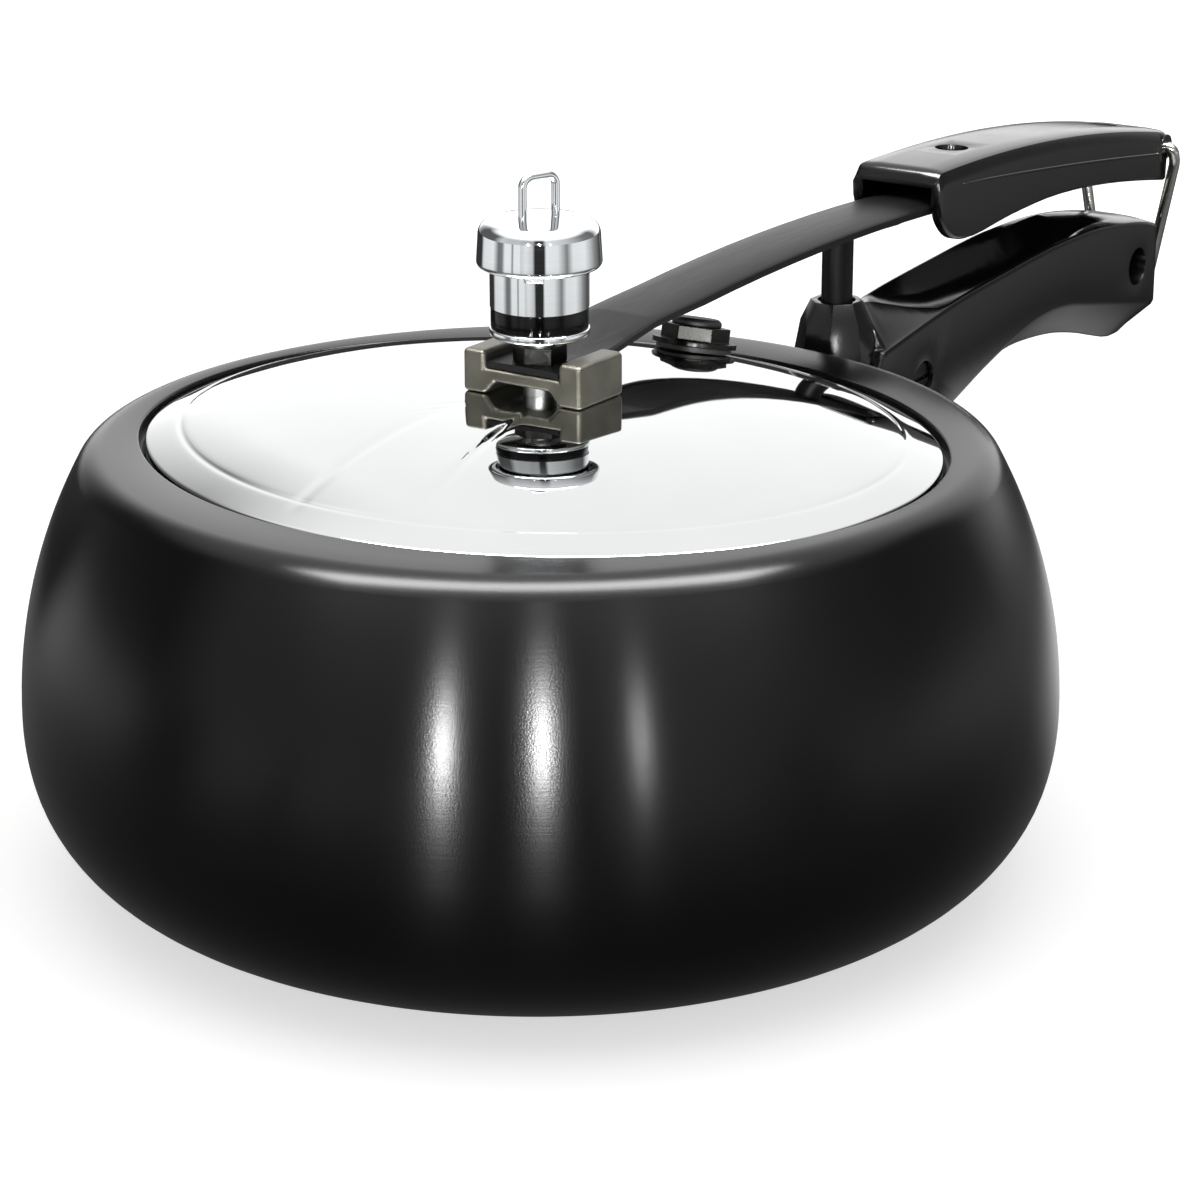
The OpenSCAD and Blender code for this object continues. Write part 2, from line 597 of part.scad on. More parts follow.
// Cast saddle: two cheeks, and a raised web that the bar's end plate lies on
module lid_bracket() {
    gusset = 2.4;
    half = bracket_w / 2;
    r = 1.4;
    color(dark_metal) translate([bracket_x0, 0, lid_top_z]) difference() {
        rotate([90, 0, 90]) linear_extrude(bracket_l) polygon([[-half, 0], [-cheek_in, 0],
            [-cheek_in + gusset, web_top_z - lid_top_z - web_t], [cheek_in - gusset, web_top_z - lid_top_z - web_t],
            [cheek_in, 0], [half, 0], each arc(half - r, bracket_h - r, r, 0, 90, 4),
            each arc(cheek_in + r / 2, bracket_h - r / 2, r / 2, 90, 180, 3),
            [cheek_in, web_top_z - lid_top_z], [-cheek_in, web_top_z - lid_top_z],
            each arc(-cheek_in - r / 2, bracket_h - r / 2, r / 2, 0, 90, 3), each arc(r - half, bracket_h - r, r, 90, 180, 4)]);
        translate([-bracket_x0, 0, -cut]) cylinder(h = bracket_h + 2 * cut, r = pin_d / 2 + bore_gap);
        for (s = [-1, 1]) translate([-bracket_x0, s * lid_rivet_y, -cut])
            cylinder(h = lid_rivet_up + cut + bore_gap, r = lid_rivet_r + bore_gap, $fn = 32);
    }
}

// Two blind rivets that hold the saddle from below
module lid_rivets() {
    color(steel) for (s = [-1, 1]) translate([0, s * lid_rivet_y, lid_under_z]) {
        cylinder(h = lid_t + lid_rivet_up, r = lid_rivet_r, $fn = 32);
        translate([0, 0, -1.2]) cylinder(h = 1.2, r1 = lid_rivet_r, r2 = lid_rivet_r + 1.4, $fn = 32);
    }
}

// ---------- lever bar ----------

bar_blend_x = bar_crease_x + bar_blend_l;
bar_stations = concat([bar_x0, bar_flat_x, (bar_flat_x + bar_crease_x) / 2, bar_crease_x - 0.5, bar_crease_x + 1,
    bar_crease_x + bar_blend_l / 2], [for (i = [0:7]) bar_blend_x + (bar_turn_x - bar_blend_x) * i / 8],
    [for (i = [0:6]) bar_turn_x + (bar_end_x - bar_turn_x) * i / 6]);

// Ring of the bar: flat plate at the lid, arched strip with turned-down edges beyond
function bar_ring(x) =
    let (zt = bar_top_z(x), f = bar_full(x), t = bar_end_t + (bar_t - bar_end_t) * f, c = bar_crown * f,
        hw = bar_w / 2, lip = 1.6)
    mirrored_ring(x, [[hw - lip, bar_under_z(x)], [hw - lip + 0.5 * f, zt - t], [hw, zt - t],
        [hw, zt - c - 0.5], [hw - 0.6, zt - c + 0.05 * f], [hw * 0.66, zt - c * 0.42], [hw * 0.33, zt - c * 0.1]]);

module handle_bar() {
    color(dark_metal) difference() {
        loft([for (x = bar_stations) bar_ring(x)]);
        translate([0, 0, bar_seat_z - cut]) cylinder(h = 6, r = pin_d / 2 + bore_gap);
        for (x = well_xs) translate([x, 0, bar_top_z(x)]) cylinder(h = 12, r = screw_r + bore_gap, center = true, $fn = 32);
    }
}

// Round post between the bar and the body grip, with a ball foot
module pillar() {
    r = pillar_d / 2;
    top_z = bar_under_z(pillar_x) - bore_gap;
    color(dark_metal) translate([pillar_x, 0, ball_z]) {
        cylinder(h = top_z - ball_z, r = r);
        sphere(r = r);
    }
}

// ---------- lid grip ----------

// Lines of the lid grip: [distance from its front, height above its highest point]
nose_line = [[0, -8.9], [1.1, -11.8], [2.8, -14], [5.5, -16.4], [9, -18.1], [13.5, -18.9], [18.5, -19.1],
    [38.5, -17.6], [58.5, -17], [73.5, -17.6], [94.5, -19.6], [110.5, -21.8], [127.8, -24.6]];
crease_line = [[0, -4.8], [16.5, -4.8], [64, -8.6], [127.8, -15.5]];
lid_grip_stations = [0, 0.35, 1.1, 1.9, 2.8, 4, 5.5, 7.2, 9, 11, 13.5, 18.5, 24, 31, 38.5, 45, 52, 58.5, 66, 73.5, 80, 87,
    94.5, 102, 110.5, 117, drawn_lid_grip_l - end_wall - 0.1,
    drawn_lid_grip_l - end_wall + 0.1, drawn_lid_grip_l];

// Place of a drawn station when the lid grip's length changes
function lid_grip_x(x) = lid_grip_x0 + x * lid_grip_l / drawn_lid_grip_l;

// Drop of the rounded front edge
function front_drop(x) = x >= front_round ? 0 : front_round - sqrt(pow(front_round, 2) - pow(front_round - x, 2));

// Ring of the lid grip: a roof with two side walls, closed at its far end
function lid_grip_ring(s) =
    let (x = lid_grip_x(s), zt = lid_grip_z(x) - front_drop(s), zb = lid_grip_top + smooth(nose_line, s),
        zc = lid_grip_top + smooth(crease_line, s), open = s < drawn_lid_grip_l - end_wall,
        roof = open ? lid_grip_z(x) - roof_t : zb + 0.3)
    mirrored_ring(x, [[cavity_half - (open ? 0 : 1), roof], [cavity_half, zb], [grip_half - 0.5, zb],
        [grip_half + 0.1, zb + 0.7], [grip_half + 0.3, zc], [grip_half - 0.3, zt - edge_r],
        [grip_half - edge_r * 0.29 - 0.3, zt - edge_r * 0.29], [grip_half - edge_r - 0.3, zt], [grip_half / 2, zt + 0.25]]);

module lid_grip() {
    color(phenolic) difference() {
        union() {
            loft([for (s = lid_grip_stations) lid_grip_ring(s)]);
            for (x = well_xs) translate([x, 0, bar_top_z(x - boss_r) + 0.05])
                cylinder(h = lid_grip_z(x) - 1 - bar_top_z(x - boss_r), r = boss_r, $fn = 32);
            translate([pivot_x, 0, pivot_z]) rotate([90, 0, 0]) cylinder(h = grip_w, r = lug_r, center = true, $fn = 48);
        }
        for (x = well_xs) {
            translate([x, 0, lid_grip_z(x) - roof_t + 0.6]) cylinder(h = 12, r = well_d / 2);
            translate([x, 0, bar_top_z(x) - cut]) cylinder(h = 20, r = screw_r + bore_gap, $fn = 32);
        }
        for (s = [-1, 1]) translate([pivot_x, s * grip_half, pivot_z]) rotate([90, 0, 0])
            cylinder(h = 2 * (pin_len + free_gap), r = wire_r + running, center = true, $fn = 48);
    }
}

// Two screws from the wells down through the bar
module lid_grip_screws() {
    color(steel) for (x = well_xs) {
        head_z = lid_grip_z(x) - roof_t + 0.6;
        foot_z = bar_under_z(x) - free_gap - grip_nut_h - 0.6;
        difference() {
            union() {
                translate([x, 0, head_z]) cylinder(h = 1.8, r = well_d / 2 - 0.5);
                translate([x, 0, foot_z]) cylinder(h = head_z + 0.2 - foot_z, r = screw_r, $fn = 32);
            }
            translate([x - well_d, -0.5, head_z + 1]) cube([2 * well_d, 1, 2]);
        }
    }
}

// Square nuts under the bar
module lid_grip_nuts() {
    side = 7;
    color(steel) for (x = well_xs) translate([x, 0, bar_under_z(x) - free_gap - grip_nut_h]) difference() {
        translate([-side / 2, -side / 2, 0]) cube([side, side, grip_nut_h]);
        translate([0, 0, -cut]) cylinder(h = grip_nut_h + 2 * cut, r = screw_r + running, $fn = 32);
    }
}

// Wire loop that swings on the lid grip and hooks under the lip of the body grip
module locking_loop() {
    foot_x = pivot_x + loop_out;
    near = [[pivot_x, grip_half - 1, pivot_z], [pivot_x, loop_top_y, pivot_z],
        [foot_x, loop_top_y, pivot_z - loop_elbow], [foot_x, loop_low_y, loop_low_z]];
    far = [for (i = [3:-1:0]) [near[i][0], -near[i][1], near[i][2]]];
    color(steel) {
        tube(rounded(concat(near, far), [1.7, 6, 2.6, 2.6, 6, 1.7]), wire_r - 0.01, [1, 0, 0]);
        for (s = [-1, 1]) translate([pivot_x, s * (grip_half - pin_len / 2), pivot_z]) rotate([90, 0, 0])
            cylinder(h = pin_len, r = wire_r, center = true);
    }
}

// ---------- vent ----------

module vent_tube() {
    flange_top = lid_under_z - washer_t;
    shoulder_z = bar_end_top_z + vent_nut_h + 0.4;
    color(steel) difference() {
        union() {
            translate([0, 0, flange_top - tube_flange_t]) hex(14, tube_flange_t);
            translate([0, 0, flange_top - tube_flange_t - 4]) cylinder(h = 4, r1 = 3.2, r2 = 4);
            translate([0, 0, flange_top - 0.1]) cylinder(h = shoulder_z - flange_top + 0.1, r = pin_d / 2);
            translate([0, 0, shoulder_z - 0.1]) cylinder(h = tip_z - 2 - shoulder_z + 0.1, r = nozzle_d / 2);
            translate([0, 0, tip_z - 2]) cylinder(h = 2, r1 = nozzle_d / 2, r2 = nozzle_d / 2 - 0.9);
        }
        translate([0, 0, flange_top - 10]) cylinder(h = tip_z - flange_top + 12, r = vent_bore_d / 2);
    }
}

module vent_washer() {
    color(rubber) translate([0, 0, lid_under_z - washer_t + 0.05]) difference() {
        cylinder(h = washer_t - 0.1, r = 7.6);
        translate([0, 0, -cut]) cylinder(h = washer_t + 2 * cut, r = pin_d / 2 + bore_gap);
    }
}

module vent_nut() {
    color(dark_metal) translate([0, 0, bar_end_top_z]) difference() {
        hex(vent_nut_flats, vent_nut_h);
        translate([0, 0, -cut]) cylinder(h = vent_nut_h + 2 * cut, r = pin_d / 2 + running);
    }
}

// ---------- safety valve ----------

valve_shank_r = 4;
valve_washer_t = 1;
valve_flange_t = 1.3;
valve_hex_h = 3.2;

module valve_washer() {
    color(rubber) at_valve() translate([0, 0, 0.15]) difference() {
        cylinder(h = valve_washer_t, r = valve_flange_d / 2 - 1);
        translate([0, 0, -cut]) cylinder(h = valve_washer_t + 2 * cut, r = valve_shank_r + bore_gap);
    }
}

module valve_body() {
    z0 = 0.15 + valve_washer_t + 0.05;
    color(dark_metal) at_valve() difference() {
        union() {
            translate([0, 0, z0]) cylinder(h = valve_flange_t, r = valve_flange_d / 2);
            translate([0, 0, z0]) hex(valve_hex, valve_flange_t + valve_hex_h);
            translate([0, 0, -8]) cylinder(h = 8 + z0, r = valve_shank_r);
        }
        translate([0, 0, -10]) cylinder(h = 30, r = 2.2 + running);
    }
}

// Fusible core that melts out if the vent blocks
module valve_plug() {
    color(tin) at_valve() translate([0, 0, -8]) cylinder(h = 8 + 0.2 + valve_washer_t + valve_flange_t + valve_hex_h, r = 2.2);
}

module valve_nut() {
    color(steel) at_valve() translate([0, 0, -lid_t - 3.6]) difference() {
        hex(12, 2.8);
        translate([0, 0, -cut]) cylinder(h = 5, r = valve_shank_r + running);
    }
}

// Black cover on top of the hexagon
module valve_cap() {
    z0 = 0.2 + valve_washer_t + valve_flange_t + valve_hex_h + 0.05;
    color(rubber) at_valve() translate([0, 0, z0]) {
        cylinder(h = 1, r = 5.6);
        translate([0, 0, 1]) cylinder(h = 0.7, r1 = 5.6, r2 = 4.9);
    }
}

// ---------- vent weight ----------

barrel_r = barrel_d / 2;
core_bore_r = nozzle_d / 2 + 0.5;

// Bell-shaped cap turned from bar, hollow underneath
module weight_cap() {
    r = cap_d / 2;
    round_r = 4.6;
    color(steel) difference() {
        rotate_extrude() difference() {
            polygon(concat([[0, cap_z]], arc(r - 1.4, cap_z + 1.4, 1.4, -90, 0, 5),
                arc(r - 0.5 - round_r, cap_top_z - 0.7 - round_r, round_r, 0, 75, 8), [[0, cap_top_z]]));
            translate([-cut, cap_z - cut]) square([barrel_r + 0.9 + cut, 4.2 + cut]);
        }
        rotate([0, 0, loop_turn]) for (s = [-1, 1]) translate([s * finger_loop_w / 2, 0, cap_top_z - loop_foot])
            cylinder(h = loop_foot + cut, r = loop_wire_r + running, $fn = 24);
    }
}

// Chrome barrel with steam slots just below the cap
module weight_barrel() {
    top_z = cap_z + 4.15;
    slot_h = 1.6;
    color(steel) difference() {
        translate([0, 0, barrel_z + 0.02]) cylinder(h = top_z - barrel_z - 0.02, r = barrel_r);
        translate([0, 0, barrel_z - cut]) cylinder(h = top_z - barrel_z - 1.2 + cut, r = barrel_r - shell_t);
        for (a = [0:90:270]) rotate([0, 0, a + 28]) translate([0, -2, cap_z - slot_h + 0.4]) cube([barrel_d, 4, slot_h]);
    }
}

module weight_band() {
    color(rubber) translate([0, 0, band_z + 0.02]) difference() {
        cylinder(h = band_h - 0.02, r = barrel_r - 0.15);
        translate([0, 0, -cut]) cylinder(h = band_h + 2 * cut, r = barrel_r - shell_t);
    }
}

module weight_ring() {
    color(steel) difference() {
        union() {
            translate([0, 0, ring_z + 0.6]) cylinder(h = ring_h - 0.6, r = barrel_r + 0.15);
            translate([0, 0, ring_z]) cylinder(h = 0.6, r1 = barrel_r - 0.8, r2 = barrel_r + 0.15);
        }
        translate([0, 0, ring_z - cut]) cylinder(h = ring_h + 2 * cut, r = core_bore_r + 1.6);
    }
}

// Heavy steel slug that seats on the vent tube's tip
module weight_core() {
    r = barrel_r - shell_t - running;
    top_z = cap_z + 4.15 - 1.25;
    color(dark_metal) difference() {
        translate([0, 0, band_z + 0.02]) cylinder(h = top_z - band_z - 0.02, r = r);
        translate([0, 0, band_z - cut]) cylinder(h = tip_z - 2 - band_z + cut + 0.35, r = core_bore_r);
        translate([0, 0, tip_z - 1.65]) cylinder(h = 2, r1 = core_bore_r, r2 = core_bore_r - 1.4);
    }
}

// Spring ring in the base that stops the weight being blown off the tube
module weight_clip() {
    color(steel) translate([0, 0, ring_z + 0.5]) difference() {
        cylinder(h = 1, r = core_bore_r + 1.6 - running);
        translate([0, 0, -cut]) cylinder(h = 1 + 2 * cut, r = nozzle_d / 2 + running);
        translate([0, -0.6, -cut]) cube([barrel_d, 1.2, 1 + 2 * cut]);
    }
}

// Wire staple on the cap, for lifting the weight
module finger_loop() {
    half = finger_loop_w / 2;
    bend = 2.2;
    z0 = cap_top_z - loop_foot + running;
    z1 = cap_top_z + finger_loop_h - loop_wire_r;
    color(steel) rotate([0, 0, loop_turn]) {
        for (s = [-1, 1]) {
            rod([s * half, 0, z0], [s * half, 0, z1 - bend], loop_wire_r);
            translate([s * (half - bend), 0, z1 - bend]) rotate([90, 0, 0]) rotate([0, 0, s > 0 ? 0 : 90])
                rotate_extrude(angle = 90, $fn = 48) translate([bend, 0]) circle(r = loop_wire_r, $fn = 24);
        }
        rod([-half + bend, 0, z1], [half - bend, 0, z1], loop_wire_r);
    }
}

pot_body();
grip_bracket();
bracket_rivets();
body_grip();
grip_bolt();
grip_nut();
pillar_seat();
lid();
gasket();
lid_bracket();
lid_rivets();
handle_bar();
pillar();
lid_grip();
lid_grip_screws();
lid_grip_nuts();
vent_tube();
vent_washer();
vent_nut();
valve_washer();
valve_body();
valve_plug();
valve_nut();
valve_cap();
locking_loop();
weight_cap();
weight_barrel();
weight_band();
weight_ring();
weight_core();
weight_clip();
finger_loop();
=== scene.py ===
"""Looks for a stovetop pressure cooker with an inner lid: bellied pot, mirror lid, lever bar,
vent weight, safety valve, two moulded grips and a wire locking loop. Sizes are in metres."""

import json
import math

import bmesh
import bpy
from bpy.props import FloatProperty, FloatVectorProperty, IntProperty, PointerProperty
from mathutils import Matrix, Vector
from mathutils.bvhtree import BVHTree


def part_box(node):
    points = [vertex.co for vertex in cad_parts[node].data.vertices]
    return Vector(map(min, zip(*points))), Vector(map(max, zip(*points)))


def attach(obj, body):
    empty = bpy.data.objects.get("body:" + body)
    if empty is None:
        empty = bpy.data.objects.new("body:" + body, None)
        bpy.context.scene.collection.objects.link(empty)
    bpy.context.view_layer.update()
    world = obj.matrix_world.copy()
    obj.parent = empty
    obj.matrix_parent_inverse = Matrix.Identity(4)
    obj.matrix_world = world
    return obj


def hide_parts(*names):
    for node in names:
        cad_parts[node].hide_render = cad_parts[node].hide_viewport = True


bl_info = {
    "name": "Pressure cooker looks",
    "version": (1, 0, 0),
    "blender": (4, 5, 0),
    "location": "View3D > Sidebar > Cooker",
    "description": "Dresses the packed pressure cooker with finished pieces, materials, light and camera",
    "category": "Object",
}

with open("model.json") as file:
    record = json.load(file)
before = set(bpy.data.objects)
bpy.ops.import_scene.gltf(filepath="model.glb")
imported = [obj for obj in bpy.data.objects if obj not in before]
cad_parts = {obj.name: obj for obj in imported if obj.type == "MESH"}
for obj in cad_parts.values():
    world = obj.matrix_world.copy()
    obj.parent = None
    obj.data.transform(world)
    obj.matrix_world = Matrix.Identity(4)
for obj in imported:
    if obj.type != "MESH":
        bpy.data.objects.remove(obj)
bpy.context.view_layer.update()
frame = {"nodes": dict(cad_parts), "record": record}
MM = 0.001


# ---------------------------------------------------------------- properties

def linear(hex_colour):
    """An sRGB hex colour as linear red, green, blue and alpha."""
    parts = [int(hex_colour[i:i + 2], 16) / 255 for i in (1, 3, 5)]
    return [c / 12.92 if c <= 0.04045 else ((c + 0.055) / 1.055) ** 2.4 for c in parts] + [1.0]


def size(name, millimetres, description):
    """A length property, given in millimetres."""
    return FloatProperty(name=name, description=description, default=millimetres * MM, min=0.0, precision=5,
                         unit="LENGTH")


def paint(name, hex_colour, description):
    """A colour property, given as sRGB hex."""
    return FloatVectorProperty(name=name, description=description, default=linear(hex_colour), size=4,
                               min=0.0, max=1.0, subtype="COLOR")


class CookerColours(bpy.types.PropertyGroup):
    """Base colours of the finishes."""
    anodised: paint("Anodised", "#070708", "Hard anodised aluminium of the pot")
    mirror: paint("Mirror steel", "#c0c1c1", "Polished stainless steel of the lid")
    chrome: paint("Chrome", "#e3e6e8", "Chrome plate of the vent weight")
    phenolic: paint("Phenolic", "#0d0d0c", "Moulded phenolic of the grips")
    bar: paint("Bar coating", "#1f1f1f", "Baked coating of the lever bar")
    casting: paint("Casting", "#5c5a51", "Dark finish of the die-cast saddle")
    blackened: paint("Blackened steel", "#1d1d1b", "Oil-blackened steel of pillar and nuts")
    zinc: paint("Zinc", "#a9aaa8", "Zinc plate of the small hardware")
    wire: paint("Wire", "#b4b3ae", "Drawn stainless wire of the loops")
    rubber: paint("Rubber", "#1a1a1a", "Moulded rubber of the gasket and washers")
    enamel: paint("Enamel", "#050506", "Gloss enamel of the weight's band")
    alloy: paint("Fusible alloy", "#96958e", "Poured alloy of the safety plug")
    floor: paint("Floor", "#d9d9d8", "Pale floor")


class CookerPot(bpy.types.PropertyGroup):
    """Outline of the spun pot."""
    belly_height: size("Belly height", 38.0, "Height of the widest point")
    flank: size("Flank radius", 110.0, "Curve from the belly up to the shoulder")
    lower: size("Lower radius", 52.0, "Curve from the belly down towards the base")
    corner: size("Base corner", 34.0, "Curve of the wall into the base")
    shoulder: size("Shoulder radius", 7.0, "Rolled shoulder beside the rim")
    wall: size("Wall", 3.2, "Thickness of the wall and rim")
    base: size("Base", 4.4, "Thickness of the base")
    least_rim: size("Least rim", 3.1, "Least width of the rim outside the mouth")
    rim_round: size("Rim edge", 0.45, "Rounding of the rim's inner edge")
    steps: IntProperty(name="Steps", description="Facets round the pot", default=288, min=48)


class CookerLid(bpy.types.PropertyGroup):
    """Oval mouth and the pressed lid that hangs in it."""
    mouth_short: size("Mouth along", 159.4, "Oval mouth measured along the handles")
    mouth_long: size("Mouth across", 176.7, "Oval mouth measured across the handles")
    mouth_end: size("Mouth end radius", 72.0, "Radius of the oval's end arcs")
    gap: size("Gap", 1.3, "Gap between the rim and the lid's crown")
    sheet: size("Sheet", 1.4, "Thickness of the lid's sheet")
    drop: size("Edge drop", 0.6, "How far the crown's edge lies below the rim")
    rise: size("Rise", 9.7, "Rise of the crown")
    curve: size("Curve width", 60.0, "Curved zone inside the crown's edge")
    power: FloatProperty(name="Crown power", description="Exponent of the crown's curve", default=2.5,
                         min=1.0)
    bead_in: size("Bead place", 7.6, "How far in from the edge the pressed bead lies")
    bead_depth: size("Bead depth", 0.14, "Depth of the pressed bead")
    bead_half: size("Bead half width", 1.1, "Half the width of the pressed bead")
    fold_depth: size("Fold depth", 0.25, "Depth of the two soft folds beside the saddle")
    fold_half: size("Fold half width", 1.8, "Half the width of a fold")
    reach: size("Flange reach", 3.5, "How far the flange reaches under the rim")
    gasket: size("Gasket height", 3.4, "Height of the rubber ring")
    steps: IntProperty(name="Steps", description="Facets round the oval", default=384, min=48)


class CookerWeight(bpy.types.PropertyGroup):
    """Turned vent weight."""
    top_round: size("Top rounding", 2.9, "Rounding of the cap's shoulder")
    lip_round: size("Lip rounding", 1.4, "Rounding of the cap's lower lip")
    dome: size("Dome", 0.5, "Rise of the cap's top")
    skirt: size("Skirt depth", 4.2, "Depth of the hollow under the cap")
    chamfer: size("Ring chamfer", 0.8, "Chamfer under the base ring")
    steps: IntProperty(name="Steps", description="Facets round the weight", default=128, min=24)


class CookerEdges(bpy.types.PropertyGroup):
    """Rounding put on the edges of the pieces, and the upper grip's moulding line."""
    grips: size("Grips", 0.35, "Edges of the moulded grips")
    line_drop: size("Line drop", 4.2, "How far below the grip's top edge the moulding line starts, about")
    line_round: size("Line radius", 0.4, "Radius of the moulding line")
    saddle: size("Saddle", 1.1, "Edges of the cast saddle")
    bar: size("Bar", 0.55, "Edges of the lever bar")
    fittings: size("Fittings", 0.25, "Edges of nuts, screws and the valve")


class CookerStage(bpy.types.PropertyGroup):
    """Camera, light and floor."""
    eye: FloatVectorProperty(name="Camera", description="Place of the camera", size=3, unit="LENGTH",
                             default=(-0.5808, -0.4070, 0.3021), subtype="TRANSLATION")
    aim: FloatVectorProperty(name="Aim", description="Point that the camera looks at", size=3, unit="LENGTH",
                             default=(0.00705, -0.01045, 0.0579), subtype="TRANSLATION")
    lens: FloatProperty(name="Lens", description="Focal length in millimetres", default=104.67, min=10.0)
    key: FloatProperty(name="Key", description="Power of the large lamp over the object", default=7.0,
                       min=0.0, unit="POWER")
    strips: FloatProperty(name="Strips", description="Power of the middle one of the tall strip lamps",
                          default=17.0, min=0.0, unit="POWER")
    over: FloatProperty(name="Overhead strip", description="Power of the long lamp over the shoulder",
                        default=105.0, min=0.0, unit="POWER")
    fill: FloatProperty(name="Fill", description="Strength of the world's light", default=0.45, min=0.0)
    backdrop: FloatProperty(name="Backdrop", description="How much brighter the lit backdrop shines in metal",
                            default=0.6, min=0.0)
    # Painted light: strength of the pool of light painted on the floor under the grips, seen only in gloss.
    under: FloatProperty(name="Under the grips", default=0.85, min=0.0,
                         description="How bright gloss sees the floor under the grips")
    # Painted light: the paper's glow round the object; it grows to full white farther away.
    lift: FloatProperty(name="Lift", description="How much the floor is lifted towards white where seen",
                        default=0.62, min=0.0)


# ---------------------------------------------------------------- nodes

def add(tree, kind, links=None, values=None, **settings):
    """Adds a node to a tree, sets its settings and values, and links its inputs."""
    made = tree.nodes.new(kind)
    for key, value in settings.items():
        setattr(made, key, value)
    for key, value in (values or {}).items():
        made.inputs[key].default_value = value
    for key, source in (links or {}).items():
        tree.links.new(source, made.inputs[key])
    return made


def tones(colour, low, high):
    """Two shades of a colour, darker and lighter, as the two ends of a mix."""
    return {end: [min(1.0, c * k) for c in colour[:3]] + [1.0] for end, k in (("A", low), ("B", high))}


def empty_material(name):
    """A new material: itself, its cleared tree and the object coordinates."""
    material = bpy.data.materials.new(name)
    material.use_nodes = True
    tree = material.node_tree
    tree.nodes.clear()
    return material, tree, add(tree, "ShaderNodeTexCoord").outputs["Object"]


# ---------------------------------------------------------------- materials
# A noise gives about 0.3 to 0.7; each Map Range stretches that to the roughness that the surface shows.

def hard_anodised_aluminium(colours):
    """Spun aluminium, hard anodised: a near-black oxide skin with a satin sheen that the spinning
    grooves draw out into tall soft streaks."""
    material, tree, where = empty_material("hard_anodised_aluminium")
    # Clouds of the oxide, about 45 mm wide.
    cloud = add(tree, "ShaderNodeTexNoise", {"Vector": where}, {"Scale": 22.0, "Detail": 3.0})
    colour = add(tree, "ShaderNodeMix", {"Factor": cloud.outputs["Fac"]}, tones(colours.anodised, 0.8, 1.2),
                 data_type="RGBA")
    # Smears of wiping, about 110 mm long.
    smear = add(tree, "ShaderNodeTexNoise", {"Vector": where},
                {"Scale": 9.0, "Detail": 2.0, "Distortion": 0.6})
    rough = add(tree, "ShaderNodeMapRange", {"Value": smear.outputs["Fac"]},
                {"From Min": 0.3, "From Max": 0.7, "To Min": 0.2, "To Max": 0.24})
    # Grooves of the spinning tool, 0.5 mm apart up the wall; real ones are finer than the eye sees.
    rings = add(tree, "ShaderNodeMapping", {"Vector": where}, {"Scale": (1.0, 1.0, 60.0)})
    groove = add(tree, "ShaderNodeTexNoise", {"Vector": rings.outputs["Vector"]},
                 {"Scale": 30.0, "Detail": 2.0})
    # Blasted grain, 0.35 mm.
    grain = add(tree, "ShaderNodeTexNoise", {"Vector": where}, {"Scale": 2800.0, "Detail": 2.0})
    relief = add(tree, "ShaderNodeMath", {0: groove.outputs["Fac"], 1: grain.outputs["Fac"]}, operation="ADD")
    bump = add(tree, "ShaderNodeBump", {"Height": relief.outputs["Value"]},
               {"Strength": 0.05, "Distance": 0.0002})
    # The sheen is drawn out across the grooves: their direction runs round the pot's axis.
    round_axis = add(tree, "ShaderNodeVectorMath", {0: where}, {1: (0.0, 0.0, 1.0)},
                     operation="CROSS_PRODUCT")
    shader = add(tree, "ShaderNodeBsdfPrincipled",
                 {"Base Color": colour.outputs["Result"], "Roughness": rough.outputs["Result"],
                  "Normal": bump.outputs["Normal"], "Tangent": round_axis.outputs["Vector"]},
                 {"Specular IOR Level": 0.23, "Anisotropic": 0.88, "Anisotropic Rotation": 0.25})
    add(tree, "ShaderNodeOutputMaterial", {"Surface": shader.outputs["BSDF"]})
    return material


def mirror_polished_steel(colours):
    """Stainless sheet, pressed and mirror polished: clear reflections, with the faint waves and
    the haze of a buffing wheel."""
    material, tree, where = empty_material("mirror_polished_stainless_steel")
    # Haze of the buffing wheel, about 22 mm wide.
    haze = add(tree, "ShaderNodeTexNoise", {"Vector": where}, {"Scale": 45.0, "Detail": 4.0})
    rough = add(tree, "ShaderNodeMapRange", {"Value": haze.outputs["Fac"]},
                {"From Min": 0.3, "From Max": 0.7, "To Min": 0.02, "To Max": 0.045})
    colour = add(tree, "ShaderNodeMix", {"Factor": haze.outputs["Fac"]}, tones(colours.mirror, 0.95, 1.03),
                 data_type="RGBA")
    # Waves of the pressed sheet, about 30 mm long.
    wave = add(tree, "ShaderNodeTexNoise", {"Vector": where}, {"Scale": 32.0, "Detail": 1.0})
    bump = add(tree, "ShaderNodeBump", {"Height": wave.outputs["Fac"]},
               {"Strength": 0.05, "Distance": 0.0006})
    shader = add(tree, "ShaderNodeBsdfPrincipled",
                 {"Base Color": colour.outputs["Result"], "Roughness": rough.outputs["Result"],
                  "Normal": bump.outputs["Normal"]}, {"Metallic": 1.0})
    add(tree, "ShaderNodeOutputMaterial", {"Surface": shader.outputs["BSDF"]})
    return material


